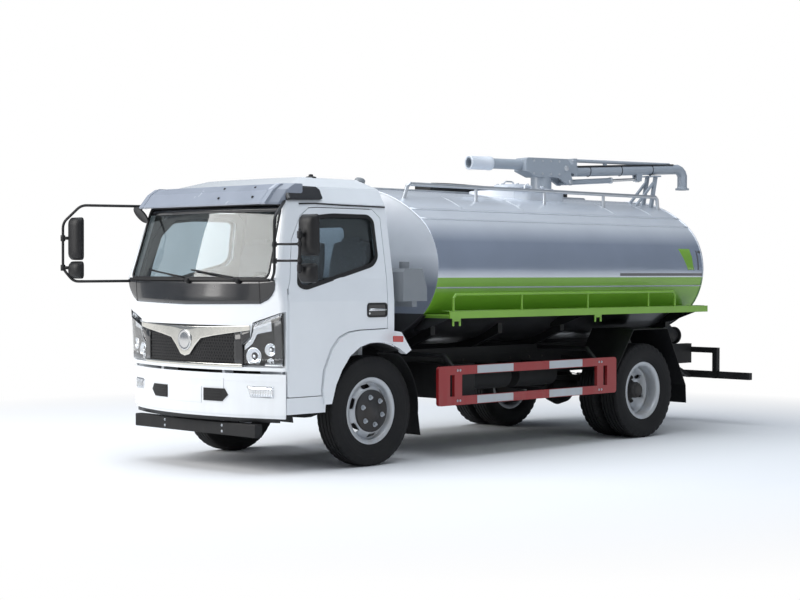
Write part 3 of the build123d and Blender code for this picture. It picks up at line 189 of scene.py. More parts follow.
def woven_cloth(tree, given):
    """Seat cloth: two thread directions, and a lighter fleck."""
    warp, weft = [tree.put("ShaderNodeTexWave", {"bands_direction": way}, Vector=tree.place,
                        Scale=given["Pitch"]).outputs["Fac"] for way in "YZ"]
    weave = tree.times(warp, weft)
    fleck = tree.ramp(tree.noise(90.0, 2.0), 0.55, 0.7, 0.0, 0.6)
    return {"Color": tree.mix(fleck, given["Thread"], given["Fleck"]),
            "Roughness": tree.ramp(weave, 0.0, 1.0, 0.95, 0.8), "Normal": tree.bump(0.5, 0.0008, weave)}


# The tank: silver sheet above, a green band below it, and a black belly.
tank_centre_z = 1.736
band_top = 1.648
band_foot = 1.318


def tank_cladding(tree, given):
    """Silver sheet with a painted reflection of the sky, a green lower band, white heads with painted shade
    on their lower half, and a black belly.
    """
    height = tree.split["Z"]
    facing = tree.put("ShaderNodeSeparateXYZ",
                      Vector=tree.put("ShaderNodeNewGeometry").outputs["Normal"]).outputs["X"]
    head = tree.greater(tree.math("ABSOLUTE", facing), 0.6)
    band = tree.times(tree.less(height, band_top), tree.minus(1.0, head))
    belly = tree.less(height, band_foot)
    # Painted reflection of the low sky on the sheet metal: paler over the shoulder, cooler and darker around
    # the tank's middle.
    painted_reflection_share = tree.times(tree.ramp(height, 2.16, 1.98), tree.ramp(height, 1.60, 1.72))
    silver = tree.mix(tree.times(painted_reflection_share, 0.80), given["Silver"], (0.21, 0.26, 0.36, 1))
    # Painted shade: both heads darken to a dull blue-grey towards their lower half.
    head_painted_shade = tree.mix(tree.ramp(height, 1.86, 1.56), given["Head"], (0.20, 0.23, 0.29, 1))
    colour = tree.mix(head, silver, head_painted_shade)
    colour = tree.mix(band, colour, given["Band"])
    colour = tree.mix(belly, colour, given["Belly"])
    painted = tree.math("MAXIMUM", tree.math("MAXIMUM", band, belly), head)
    waves = tree.noise(1.6, 2.0, tree.stretched(0.5, 3.0, 3.0))
    fine = tree.noise(4.0, 2.0, tree.stretched(2.0, 60.0, 60.0))
    return {"Color": tree.shaded(colour, tree.ramp(tree.noise(2.4, 4.0), 0.3, 0.7, 0.95, 1.02)),
            "Roughness": tree.plus(tree.ramp(painted, 0.0, 1.0, 0.20, 0.32),
                                   tree.ramp(waves, 0.3, 0.7, -0.03, 0.05)),
            "Metallic": tree.ramp(painted, 0.0, 1.0, 0.42, 0.0),
            "Normal": tree.bump(0.25, 0.012, tree.plus(waves, tree.times(fine, 0.05)))}


def cab_lining(tree, given):
    """White paint outside, grey lining on the faces that look into the cab."""
    x = tree.minus(tree.split["X"], front_axle_x)
    y, z = tree.math("ABSOLUTE", tree.split["Y"]), tree.split["Z"]
    above_waist = tree.beyond(z, 1.45)
    lean = tree.plus(tree.times(above_waist, 0.145), tree.times(tree.beyond(z, 2.27), 0.90))
    between_sides = tree.less(tree.plus(y, lean), 1.012)
    bow = tree.times(tree.times(y, y), 0.14)
    behind_front = tree.less(tree.plus(tree.plus(x, bow), tree.times(above_waist, 0.28)), 1.225)
    before_back = tree.greater(x, -0.205)
    slope, brow = tree.times(tree.beyond(x, 0.5), 0.26), tree.times(tree.beyond(x, 0.905), 0.9)
    under_roof = tree.less(tree.plus(tree.plus(z, slope), brow), 2.490)
    inside = tree.times(tree.times(between_sides, behind_front), tree.times(before_back, under_roof))
    inside = tree.times(inside, tree.greater(z, 1.09))
    outside = tree.shaded(given["Outside"], tree.ramp(tree.noise(1.7, 4.0), 0.25, 0.75, 0.95, 1.03))
    return {"Color": tree.mix(inside, outside, given["Lining"]),
            "Roughness": tree.ramp(inside, 0.0, 1.0, 0.22, 0.85),
            "Coat": tree.ramp(inside, 0.0, 1.0, 0.6, 0.0),
            "Normal": tree.bump(0.10, 0.001, tree.noise(300.0, 2.0))}


def walkway_film(tree, given):
    """Green paint above, black on the brackets underneath."""
    varied = tree.shaded(given["Paint"], tree.ramp(tree.noise(2.1, 4.0), 0.3, 0.7, 0.92, 1.04))
    return {"Color": tree.mix(tree.less(tree.split["Z"], 1.2795), varied, given["Under"]),
            "Roughness": tree.ramp(tree.noise(6.0, 3.0), 0.3, 0.7, 0.30, 0.42),
            "Normal": tree.bump(0.12, 0.0012, tree.noise(260.0, 2.0))}


# ------------------------------------------------------------------ finishes
cab_white = (0.82, 0.85, 0.88, 1)
lime_green = (0.20, 0.42, 0.035, 1)
chassis_black = (0.011, 0.011, 0.012, 1)

effects = {
    "film": effect(paint_film, {"Paint": (0.8, 0.8, 0.8, 1), "Dust": (0.42, 0.38, 0.32, 1), "Dust share": 0.3,
                                "Gloss loss": 0.25, "Peel": 0.15}),
    "metal": effect(rolled_metal, {"Metal": (0.6, 0.6, 0.6, 1), "Dull": 0.3, "Scratch": 0.15}),
    "skin": effect(moulded_skin, {"Base": (0.05, 0.05, 0.05, 1), "Faded": (0.16, 0.16, 0.16, 1),
                                  "Fade share": 0.4,
                                  "Grain size": 500.0, "Grain depth": 0.3, "Sheen loss": 0.5}),
    "cloth": effect(woven_cloth, {"Thread": (0.2, 0.2, 0.22, 1), "Fleck": (0.35, 0.36, 0.4, 1),
                                  "Pitch": 420.0}),
    "cladding": effect(tank_cladding, {"Silver": (0.76, 0.80, 0.86, 1), "Band": lime_green,
                                       "Head": (0.80, 0.83, 0.88, 1), "Belly": (0.02, 0.02, 0.022, 1)},
                       ("Color", "Roughness", "Metallic", "Normal")),
    "lining": effect(cab_lining, {"Outside": cab_white, "Lining": (0.16, 0.16, 0.155, 1)},
                     ("Color", "Roughness", "Coat", "Normal")),
    "walkway": effect(walkway_film, {"Paint": lime_green, "Under": chassis_black}),
}


def new_material(name):
    """A material, ways to add to its tree, and its shader's inputs."""
    made = bpy.data.materials.new(name)
    made.use_nodes = True
    return made, Shading(made.node_tree), made.node_tree.nodes["Principled BSDF"].inputs


def finish(name, effect_name, plain=None, **values):
    """A material whose shader is fed by one shared effect. Plain values go straight into the shader."""
    made, tree, inputs = new_material(name)
    for label, value in (plain or {}).items():
        inputs[label].default_value = value
    group = tree.put("ShaderNodeGroup", {"node_tree": effects[effect_name]}, **values)
    for output in group.outputs:
        tree.feed(inputs[{"Color": "Base Color", "Coat": "Coat Weight"}.get(output.name, output.name)],
                  output)
    return made


def film(name, paint, dust_share, gloss_loss, peel, plain=None, **more):
    return finish(name, "film", plain, Paint=paint, Dust_share=dust_share, Gloss_loss=gloss_loss, Peel=peel,
                  **more)


def metal(name, colour, dull, scratch, metallic=1.0):
    return finish(name, "metal", {"Metallic": metallic}, Metal=colour, Dull=dull, Scratch=scratch)


def skin(name, base, faded, fade_share, grain_size, grain_depth, sheen_loss, plain=None):
    return finish(name, "skin", plain, Base=base, Faded=faded, Fade_share=fade_share, Grain_size=grain_size,
                  Grain_depth=grain_depth, Sheen_loss=sheen_loss)


def clear_glass(name, *tint):
    made, tree, inputs = new_material(name)
    for label, value in (("Transmission Weight", 1.0), ("IOR", 1.45), ("Roughness", 0.02)):
        inputs[label].default_value = value
    smear = tree.ramp(tree.noise(3.0, 4.0), 0.4, 0.75, 0.0, 0.25)
    tree.feed(inputs["Base Color"], tree.mix(smear, (*tint, 1), (*[part * 0.8 for part in tint], 1)))
    return made


def coat(weight, roughness=None):
    """A clear layer over a finish."""
    layer = {"Coat Weight": weight}
    if roughness is not None:
        layer["Coat Roughness"] = roughness
    return layer


white_paint = film("cab white paint", cab_white, 0.08, 0.22, 0.10, coat(0.6, 0.05))
green_paint = film("lime green paint", lime_green, 0.2, 0.28, 0.12, coat(0.4, 0.08))
red_paint = film("guard red paint", (0.30, 0.010, 0.014, 1), 0.06, 0.35, 0.12, coat(0.2))
stripe_paint = film("reflective stripe", (0.45, 0.49, 0.53, 1), 0.3, 0.3, 0.35, coat(0.5))
stripe_grey = film("grey marking film", (0.085, 0.085, 0.095, 1), 0.1, 0.3, 0.1, coat(0.3))
chassis_paint = film("chassis black paint", chassis_black, 0.30, 0.5, 0.2, {"Specular IOR Level": 0.3},
                     Dust=(0.05, 0.05, 0.05, 1))
boom_paint = film("boom grey paint", (0.33, 0.37, 0.42, 1), 0.2, 0.3, 0.12, coat(0.3))
pale_paint = film("pale coupling paint", (0.66, 0.70, 0.76, 1), 0.2, 0.4, 0.1)
wheel_paint = film("wheel silver paint", (0.55, 0.58, 0.62, 1), 0.5, 0.3, 0.1, {"Metallic": 0.35})
galvanised = metal("galvanised tube", (0.55, 0.58, 0.62, 1), 0.38, 0.1, metallic=0.85)
bright_steel = metal("bright steel", (0.72, 0.73, 0.74, 1), 0.16, 0.05)
chrome = metal("chrome trim", (0.80, 0.79, 0.74, 1), 0.12, 0.03)
lamp_white = metal("lamp reflector", (0.85, 0.87, 0.9, 1), 0.15, 0.4, metallic=0.9)
mirror_glass = metal("mirror glass", (0.85, 0.87, 0.9, 1), 0.05, 0.01)
cast_iron = skin("cast iron", (0.05, 0.05, 0.052, 1), (0.10, 0.085, 0.07, 1), 0.6, 160.0, 0.6, 0.55,
                 {"Metallic": 0.5})
tyre_rubber = skin("tyre rubber", chassis_black, (0.030, 0.029, 0.028, 1), 0.45, 240.0, 0.25, 0.62,
                   {"Specular IOR Level": 0.22})
black_plastic = skin("black plastic", (0.010, 0.010, 0.011, 1), (0.024, 0.024, 0.026, 1), 0.4, 700.0, 0.3,
                     0.42,
                     {"Specular IOR Level": 0.35})
gloss_black = skin("gloss black panel", (0.010, 0.011, 0.013, 1), (0.02, 0.02, 0.023, 1), 0.3, 300.0, 0.05,
                   0.2,
                   coat(0.7, 0.06))
grey_plastic = skin("grey plastic", (0.22, 0.24, 0.26, 1), (0.30, 0.31, 0.33, 1), 0.4, 500.0, 0.3, 0.5)
trim_plastic = skin("cab trim plastic", (0.12, 0.115, 0.105, 1), (0.2, 0.19, 0.17, 1), 0.3, 900.0, 0.4, 0.6)
visor_plastic = skin("visor plastic", (0.27, 0.30, 0.36, 1), (0.36, 0.40, 0.47, 1), 0.3, 300.0, 0.05, 0.2,
                     coat(0.5, 0.1))
red_lens = skin("red lens", (0.45, 0.012, 0.010, 1), (0.55, 0.03, 0.02, 1), 0.5, 120.0, 0.5, 0.15, coat(1.0))
amber_lens = skin("amber lens", (0.75, 0.10, 0.03, 1), (0.8, 0.2, 0.06, 1), 0.5, 120.0, 0.5, 0.15, coat(1.0))
seat_cloth = finish("seat cloth", "cloth", {"Sheen Weight": 0.3}, Thread=(0.14, 0.14, 0.15, 1))
windscreen_glass = clear_glass("windscreen glass", 0.80, 0.87, 0.88)
door_glass = clear_glass("tinted door glass", 0.42, 0.50, 0.56)
lens_glass = clear_glass("lamp lens glass", 0.93, 0.95, 0.97)
tank_skin = finish("tank cladding", "cladding", coat(0.3, 0.08))
walkway_coat = finish("walkway green over black", "walkway", coat(0.4, 0.08))
cab_paint = finish("cab paint and lining", "lining", {"Coat Roughness": 0.05})

node_finishes = [
    (chassis_paint,
     "frame_rails cross_members front_mounts under_bar propshaft leaf_springs front_axle rear_axle "
     "tank_bearers tank_saddles guard_brackets rear_underrun battery_box air_tanks fuel_tank "
     "rear_valve vacuum_pump knuckle_left knuckle_right"),
    (cast_iron, "engine_block"),
    (tank_skin, "tank_barrel"),
    (pale_paint, "hatch_lid"),
    (galvanised, "top_rails"),
    (black_plastic,
     "hose_trough rear_mudguards front_mudguards steering_wheel grille mirror_left mirror_right"),
    (walkway_coat, "walkways"),
    (red_paint, "side_guards"),
    (red_lens, "tail_lamps"),
    (grey_plastic, "rinse_tank"),
    (boom_paint, "boom_rest boom_turret boom_arm boom_clevis luff_barrel"),
    (bright_steel, "luff_rod"),
    (cab_paint, "cab_shell door_left door_right"),
    (white_paint, "bumper"),
    (visor_plastic, "roof_visor"),
    (trim_plastic, "dashboard"),
    (windscreen_glass, "windscreen rear_window"),
    (door_glass, "door_glass_left door_glass_right"),
    (wheel_paint, "front_rim_left front_rim_right rear_rims_left rear_rims_right"),
    (tyre_rubber, "front_tyre_left front_tyre_right rear_tyres_left rear_tyres_right"),
    (seat_cloth, "seats"),
    (lens_glass, "headlights"),
]
for material, names in node_finishes:
    for node_name in names.split():
        node_mesh = nodes[node_name].data
        node_mesh.materials.clear()
        node_mesh.materials.append(material)

# ------------------------------------------------------------------ mesh tools
def placed(name, data):
    """An object in the scene for a mesh, a lamp or a camera."""
    made = bpy.data.objects.new(name, data)
    bpy.context.scene.collection.objects.link(made)
    return made


def closed_mesh(name, shape):
    """A mesh from a bmesh, with its faces turned outwards."""
    bmesh.ops.recalc_face_normals(shape, faces=shape.faces)
    mesh = bpy.data.meshes.new(name)
    shape.to_mesh(mesh)
    shape.free()
    return mesh


def settle(made, kind, **settings):
    """Changes a piece by a modifier, for good."""
    change = made.modifiers.new("change", kind)
    for name, value in settings.items():
        setattr(change, name, value)
    graph = bpy.context.evaluated_depsgraph_get()
    mesh = bpy.data.meshes.new_from_object(made.evaluated_get(graph))
    made.modifiers.clear()
    made.data = mesh


def piece(name, material, body, *parts, smooth=False, edge=0.0):
    """A piece of the truck that moves with a body, its edges rounded by edge.

    Each part is a shape function, followed by what it takes after the mesh."""
    shape = bmesh.new()
    for draw, *given in parts:
        draw(shape, *given)
    mesh = closed_mesh(name, shape)
    for face in mesh.polygons:
        face.use_smooth = smooth
    made = placed(name, mesh)
    mesh.materials.append(material)
    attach(made, body)
    if edge:
        settle(made, "BEVEL", width=edge, segments=2, limit_method="ANGLE", angle_limit=radians(35))
    return made


def along(points, value):
    """Straight-line reading of a table of (place, height) pairs."""
    for (low, start), (high, end) in zip(points, points[1:]):
        if value <= high:
            return start + (end - start) * (value - low) / max(high - low, 1e-9)
    return points[-1][1]


def even(half):
    """A table that is the same on both sides of the centreline, from its right half."""
    return [(-place, height) for place, height in reversed(half) if place] + half


def skin_over(shape, rings, ends=True):
    """Faces from each closed ring of vertices to the next, and over the first and the last."""
    count = len(rings[0])
    for near, far in zip(rings, rings[1:]):
        for k in range(count):
            after = (k + 1) % count
            shape.faces.new((near[k], near[after], far[after], far[k]))
    if ends:
        shape.faces.new(list(reversed(rings[0])))
        shape.faces.new(rings[-1])


def shell(shape, outer, inner):
    """A closed sheet between two grids of points, each a list of rows."""
    faces, backs = [[[shape.verts.new(p) for p in row] for row in grid] for grid in (outer, inner)]
    rows, columns = len(outer), len(outer[0])
    for i in range(rows - 1):
        for j in range(columns - 1):
            shape.faces.new((faces[i][j], faces[i][j + 1], faces[i + 1][j + 1], faces[i + 1][j]))
            shape.faces.new((backs[i][j], backs[i + 1][j], backs[i + 1][j + 1], backs[i][j + 1]))
    for j in range(columns - 1):
        shape.faces.new((faces[0][j], backs[0][j], backs[0][j + 1], faces[0][j + 1]))
        shape.faces.new((faces[-1][j], faces[-1][j + 1], backs[-1][j + 1], backs[-1][j]))
    for i in range(rows - 1):
        shape.faces.new((faces[i][0], faces[i + 1][0], backs[i + 1][0], backs[i][0]))
        shape.faces.new((faces[i][-1], backs[i][-1], backs[i + 1][-1], faces[i + 1][-1]))


def panel(shape, surface, low, high, lift, depth, columns, rows):
    """A sheet lying on a surface between a lower and an upper edge, each a table of (place, height)."""
    start, end = low[0][0], low[-1][0]
    places = sorted({round(start + (end - start) * k / columns, 5) for k in range(columns + 1)}
                    | {round(p[0], 5) for p in low + high if start <= p[0] <= end})
    lines = [[along(low, place) + (along(high, place) - along(low, place)) * r / rows for place in places]
             for r in range(rows + 1)]
    outer, inner = [[[surface(place, z, offset) for place, z in zip(places, line)] for line in lines]
                    for offset in (lift, lift - depth)]
    shell(shape, outer, inner)


def strip(shape, surface, start, end, low, high, lift, depth, columns, rows):
    """A panel with four straight edges."""
    panel(shape, surface, [(start, low), (end, low)], [(start, high), (end, high)], lift, depth, columns,
          rows)


def both(surface):
    """The same surface on the left and on the right of the truck, each with the name of its side."""
    return ((surface, "left"), (lambda place, z, lift: mirrored(surface(place, z, lift)), "right"))


def mirrored(point):
    return Vector((point.x, -point.y, point.z))


def tube(shape, points, radius, sides=10, closed=False):
    """A round bar through points, the same all along or with one radius for each point."""
    count = len(points)
    radii = radius if isinstance(radius, list) else [radius] * count
    rings = []
    normal = None
    for k, point in enumerate(points):
        before = points[k - 1] if (k > 0 or closed) else point
        after = points[(k + 1) % count] if (k < count - 1 or closed) else point
        heading = (after - before).normalized()
        if normal is None:
            normal = heading.orthogonal().normalized()
        normal = (normal - heading * normal.dot(heading)).normalized()
        across = heading.cross(normal)
        turns = [2 * pi * s / sides for s in range(sides)]
        rings.append([shape.verts.new(point + (normal * cos(t) + across * sin(t)) * radii[k]) for t in turns])
    skin_over(shape, rings, ends=not closed)
    if closed:
        last, first = rings[-1], rings[0]
        shift = min(range(sides), key=lambda s: (first[s].co - last[0].co).length)
        for s in range(sides):
            shape.faces.new((last[s], last[(s + 1) % sides], first[(s + 1 + shift) % sides],
                             first[(s + shift) % sides]))


def lathe(shape, profile, centre, axis, segments=48, closed=False, wave=None):
    """Turns a profile of (radius, distance along the axis) about an axis through centre."""
    axis = Vector(axis).normalized()
    first = axis.orthogonal().normalized()
    second = axis.cross(first)
    poles, columns = {}, []
    for s in range(segments):
        angle = 2 * pi * s / segments
        spoke = first * cos(angle) + second * sin(angle)
        column = []
        for k, (radius, distance) in enumerate(profile):
            point = centre + spoke * (radius + (wave(s, k) if wave else 0.0)) + axis * distance
            if radius < 1e-6 and k not in poles:
                poles[k] = shape.verts.new(point)
            column.append(poles[k] if radius < 1e-6 else shape.verts.new(point))
        columns.append(column)
    for s, row in enumerate(columns):
        onward = columns[(s + 1) % segments]
        for k in range(len(profile) if closed else len(profile) - 1):
            after = (k + 1) % len(profile)
            corners = list(dict.fromkeys((row[k], row[after], onward[after], onward[k])))
            if len(corners) > 2:
                shape.faces.new(corners)


def block(shape, centre, size, turn=Matrix.Identity(3)):
    """A box."""
    for vert in bmesh.ops.create_cube(shape, size=1.0)["verts"]:
        vert.co = centre + turn @ Vector([part * side for part, side in zip(vert.co, size)])


def bolt_heads(shape, places, axis, radius=0.009, height=0.007):
    """Hexagon heads on washers, each standing on its place along an axis."""
    washer = [(0, 0), (radius * 1.5, 0), (radius * 1.5, height * 0.25), (radius * 1.1, height * 0.3),
              (0, height * 0.3)]
    head = [(0, 0), (radius, 0), (radius, height), (radius * 0.6, height * 1.15), (0, height * 1.15)]
    for place in places:
        lathe(shape, washer, place, axis, 12)
        lathe(shape, head, place, axis, 6)


def round_corner(before, corner, after, radius, steps):
    """Points on a smooth curve that cuts a corner."""
    back, ahead = before - corner, after - corner
    reach = min(radius, back.length * 0.45, ahead.length * 0.45)
    start, end = corner + back.normalized() * reach, corner + ahead.normalized() * reach
    shares = [s / steps for s in range(steps + 1)]
    return [start * (1 - t) ** 2 + corner * 2 * t * (1 - t) + end * t ** 2 for t in shares]


def rounded_loop(corners, radius, steps=5):
    """A closed outline with its corners rounded, in its own plane."""
    points = [Vector(corner) for corner in corners]
    onward = points[1:] + points[:1]
    return [p for k, point in enumerate(points)
            for p in round_corner(points[k - 1], point, onward[k], radius, steps)]


def smooth_path(points, bend):
    """Points with their inner corners rounded."""
    inner = [p for three in zip(points, points[1:], points[2:]) for p in round_corner(*three, bend, 5)]
    return [points[0], *inner, points[-1]]


def shrunk(loop, distance):
    """A closed outline moved in by a distance (out, where it is negative)."""
    area = sum(a.x * b.y - b.x * a.y for a, b in zip(loop, loop[1:] + loop[:1]))
    sign = 1 if area > 0 else -1
    moved = []
    for k, point in enumerate(loop):
        along_edge = (loop[(k + 1) % len(loop)] - loop[k - 1]).normalized()
        moved.append(point + Vector((-along_edge.y, along_edge.x)) * distance * sign)
    return moved


def ring_on(shape, surface, loop, width, lift, depth):
    """A flat ring on a surface, from an outline inwards."""
    inner = shrunk(loop, width)
    corners = [[shape.verts.new(surface(p.x, p.y, offset)) for p in outline]
               for outline, offset in ((loop, lift), (inner, lift), (inner, lift - depth),
                                       (loop, lift - depth))]
    skin_over(shape, corners + corners[:1], ends=False)


def plate_on(shape, surface, loop, lift, depth):
    """A plate with a closed outline on a nearly flat surface."""
    skin_over(shape, [[shape.verts.new(surface(p.x, p.y, offset)) for p in loop]
                      for offset in (lift - depth, lift)])


# ------------------------------------------------------------------ the cab's surfaces
# Height, front at the centreline, radius of the front in plan, half width.
cab_rows = [(0.510, 1.275, 2.3, 1.045), (1.450, 1.262, 3.2, 1.045), (1.640, 1.230, 5.2, 1.030),
            (2.290, 1.028, 5.2, 0.926), (2.430, 0.905, 5.2, 0.850), (2.520, 0.560, 5.2, 0.640)]
cab_half_widths = [(row[0], row[3]) for row in cab_rows]
corner_radius = 0.05
wheel_height = 0.484


def round_the_front(front, radius, half, place):
    """Point and outward direction in plan, place metres from the centreline round the front."""
    far = radius - corner_radius
    corner_y = half - corner_radius
    corner_angle = asin(corner_y / far)
    corner_x = front - radius + far * cos(corner_angle)
    reach = abs(place)
    if reach <= radius * sin(corner_angle):
        angle = asin(reach / radius)
        x, y = front - radius + radius * cos(angle), reach
    else:
        over = reach - radius * sin(corner_angle)
        angle = min(corner_angle + over / corner_radius, pi / 2)
        x = corner_x + corner_radius * cos(angle) - max(0.0, over - corner_radius * (pi / 2 - corner_angle))
        y = corner_y + corner_radius * sin(angle)
    side = 1 if place >= 0 else -1
    return x, y * side, cos(angle), sin(angle) * side


def cab_front(place, z, lift):
    """The bowed front of the cab, blended between the plans at two heights."""
    z_read = min(max(z, cab_rows[0][0]), cab_rows[-1][0])
    for low, high in zip(cab_rows, cab_rows[1:]):
        if z_read <= high[0]:
            share = (z_read - low[0]) / (high[0] - low[0])
            plans = (round_the_front(*row[1:], place) for row in (low, high))
            x, y, out_x, out_y = (p + (q - p) * share for p, q in zip(*plans))
            return at(x + out_x * lift, y + out_y * lift, z)


def bumper_front(place, z, lift):
    """The bowed front of the bumper, upright."""
    x, y, out_x, out_y = round_the_front(1.283, 2.3, 1.050, place)
    return at(x + out_x * lift, y + out_y * lift, z)


def cab_side(x, z, lift):
    """The left flank of the cab, leaning in above the waist."""
    return at(x, along(cab_half_widths, z) + lift, z)


def flare_side(x, z, lift):
    """The outside of the flare over the front wheel."""
    return at(x, 1.135 + lift, z)


def lathe_on(shape, surface, place, z, profile, lift, segments):
    """A turned shape standing on a surface, its axis along the surface's outward direction."""
    foot = surface(place, z, lift)
    lathe(shape, profile, foot, surface(place, z, lift + 0.01) - foot, segments)


# ------------------------------------------------------------------ cab front
def cowl():
    """Black panel under the windscreen, wrapped round both corners."""
    low = even([(0, 1.418), (0.84, 1.432), (0.92, 1.468), (0.96, 1.505), (0.99, 1.552), (1.00, 1.590)])
    high = even([(0, 1.632), (1.00, 1.630)])
    piece("cowl_panel", gloss_black, "cab", (panel, cab_front, low, high, 0.006, 0.010, 60, 6), smooth=True)
    seams = [(strip, cab_front, y - 0.004, y + 0.004, along(low, y), 1.63, 0.0075, 0.003, 1, 6)
             for y in (0.842, -0.842)]
    piece("cowl_seams", black_plastic, "cab", *seams,
          (strip, cab_front, -0.95, 0.95, 1.624, 1.644, 0.016, 0.012, 40, 2))


def lattice(shape):
    """Rows of small pyramids, every second row half a pitch over."""
    pitch_y, pitch_z = 0.030, 0.026
    for row in range(11):
        z = 0.935 + row * pitch_z
        half = 0.585 if z < 1.10 else 0.585 + (z - 1.10) * 0.4
        count = int(2 * half / pitch_y)
        for k in range(count):
            y = (k - (count - 1) / 2) * pitch_y + (pitch_y / 2 if row % 2 else 0)
            if abs(y) > half - 0.012:
                continue
            tip = shape.verts.new(cab_front(y, z, -0.001))
            base = [shape.verts.new(cab_front(y + dy, z + dz, -0.009))
                    for dy, dz in ((-0.013, 0), (0, 0.011), (0.013, 0), (0, -0.011))]
            for a in range(4):
                shape.faces.new((base[a], base[(a + 1) % 4], tip))
            shape.faces.new(list(reversed(base)))


def grille():
    """Lattice, chrome wing with a bare round badge plate, lower chrome lip."""
    piece("grille_lattice", black_plastic, "cab", (lattice,))
    top = even([(0, 1.232), (0.30, 1.236), (0.655, 1.247), (0.738, 1.252)])
    bottom = even([(0, 0.975), (0.06, 0.990), (0.13, 1.068), (0.20, 1.130), (0.36, 1.158), (0.655, 1.198),
                   (0.738, 1.210)])
    piece("grille_wing", chrome, "cab", (panel, cab_front, bottom, top, 0.012, 0.022, 60, 8), smooth=True,
          edge=0.004)
    lip_low, lip_high = even([(0.655, 0.896)]), even([(0.64, 0.924)])
    piece("grille_lip", chrome, "cab", (panel, cab_front, lip_low, lip_high, 0.008, 0.016, 40, 2),
          smooth=True,
          edge=0.003)
    cheeks = []
    for surface, _ in both(cab_front):
        cheeks += [(panel, surface, [(0.578, 0.900), (0.660, 0.900)],
                    [(0.578, 1.188), (0.640, 1.196), (0.660, 1.090)],
                    0.0035, 0.012, 8, 4),
                   (panel, surface, [(0.650, 1.082), (0.735, 1.150)], [(0.650, 1.200), (0.735, 1.212)],
                    0.0035, 0.012, 8, 3)]
    piece("grille_cheeks", gloss_black, "cab", *cheeks, smooth=True)
    badge = [(0, 0.000), (0.088, 0.000), (0.090, 0.006), (0.084, 0.012), (0.076, 0.008), (0.06, 0.010),
             (0.03, 0.013),
             (0, 0.014)]
    piece("badge_plate", bright_steel, "cab", (lathe_on, cab_front, 0, 1.112, badge, 0.011, 48), smooth=True)


def headlamp(surface, name):
    """Housing, reflector bowls, a light guide along the inner edge and a clear cover."""
    low = [(0.664, 0.915), (1.036, 0.915)]
    high = [(0.664, 1.085), (0.740, 1.148), (0.764, 1.262), (1.036, 1.358)]
    piece(f"lamp_housing_{name}", black_plastic, "cab", (panel, surface, low, high, -0.024, 0.009, 16, 4),
          smooth=True)
    guide_low = [(0.675, 1.040), (0.755, 1.100), (0.800, 1.178), (0.935, 1.205)]
    guide_high = [(0.675, 1.075), (0.740, 1.140), (0.775, 1.255), (0.935, 1.318)]
    piece(f"lamp_guide_{name}", lamp_white, "cab",
          (panel, surface, guide_low, guide_high, -0.006, 0.016, 16, 3),
          smooth=True, edge=0.004)
    bowl = [(0.0, -0.014), (0.022, -0.013), (0.052, -0.004), (0.068, 0.006), (0.074, 0.008), (0.074, -0.004),
            (0.0, -0.018)]
    slim, small = [[(r * share, d) for r, d in bowl] for share in (0.72, 0.42)]
    bulb = [(0, -0.012), (0.014, -0.012), (0.014, 0.002), (0.008, 0.006), (0, 0.007)]
    bowls = ((0.762, 0.992, bowl, 32), (0.918, 1.050, slim, 32), (0.918, 0.948, small, 24),
             (0.762, 0.992, bulb, 20),
             (0.918, 1.050, bulb, 20))
    piece(f"lamp_bowls_{name}", lamp_white, "cab",
          *[(lathe_on, surface, y, z, profile, -0.014, segments) for y, z, profile, segments in bowls],
          smooth=True)
    cover = piece(f"lamp_cover_{name}", lens_glass, "cab", (panel, surface, low, high, 0.001, 0.003, 20, 6),
                  smooth=True)
    mask_low, mask_high = [(0.960, 0.918), (1.034, 0.918)], [(0.960, 1.326), (1.034, 1.352)]
    piece(f"lamp_side_mask_{name}", gloss_black, "cab",
          (panel, surface, mask_low, mask_high, -0.003, 0.004, 8, 4),
          smooth=True)
    return cover


def front_lamps_and_vents():
    covers = [headlamp(surface, name) for surface, name in both(cab_front)]
    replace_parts(covers[0], "headlights")
    for surface, name in both(bumper_front):
        vent_low = [(0.250, 0.606), (0.455, 0.606), (0.515, 0.662)]
        vent_high = [(0.250, 0.713), (0.480, 0.713), (0.515, 0.662)]
        piece(f"bumper_vent_{name}", black_plastic, "cab",
              (panel, surface, vent_low, vent_high, 0.0085, 0.012, 14, 4))
        bars = [0.622 + 0.024 * row for row in range(4)]
        piece(f"vent_bars_{name}", black_plastic, "cab",
              *[(strip, surface, 0.262, 0.452, z, z + 0.006, 0.0115, 0.005, 8, 1) for z in bars])
        fog_low = [(0.700, 0.738), (0.735, 0.650), (0.935, 0.648)]
        fog_high = [(0.700, 0.742), (0.735, 0.742), (0.935, 0.742)]
        piece(f"fog_lamp_bed_{name}", lamp_white, "cab",
              (panel, surface, fog_low, fog_high, 0.004, 0.008, 12, 3),
              smooth=True)
        ribs = [0.748 + k * 0.022 for k in range(9)]
        piece(f"fog_lamp_ribs_{name}", lens_glass, "cab",
              *[(strip, surface, y, y + 0.012, 0.660, 0.730, 0.007, 0.005, 2, 2) for y in ribs],
              smooth=True, edge=0.002)
        piece(f"bumper_crease_{name}", white_paint, "cab",
              (strip, surface, 0.02, 1.06, 0.776, 0.782, 0.003, 0.006, 30, 1))
    piece("number_plate_blank", white_paint, "cab",
          (strip, bumper_front, -0.22, 0.22, 0.585, 0.725, 0.005, 0.008, 10, 2), edge=0.002)
    piece("bumper_lower_lip", white_paint, "cab",
          (strip, bumper_front, -1.035, 1.035, 0.472, 0.530, -0.010, 0.020, 48, 3), smooth=True, edge=0.006)
    # A black strip set back under the bumper's lower lip, as painted shade: it fills the gap below the bumper
    # with black.
    piece("bumper_shade_strip", black_plastic, "cab",
          (strip, bumper_front, -0.98, 0.98, 0.440, 0.500, -0.020, 0.006, 48, 2), smooth=True)


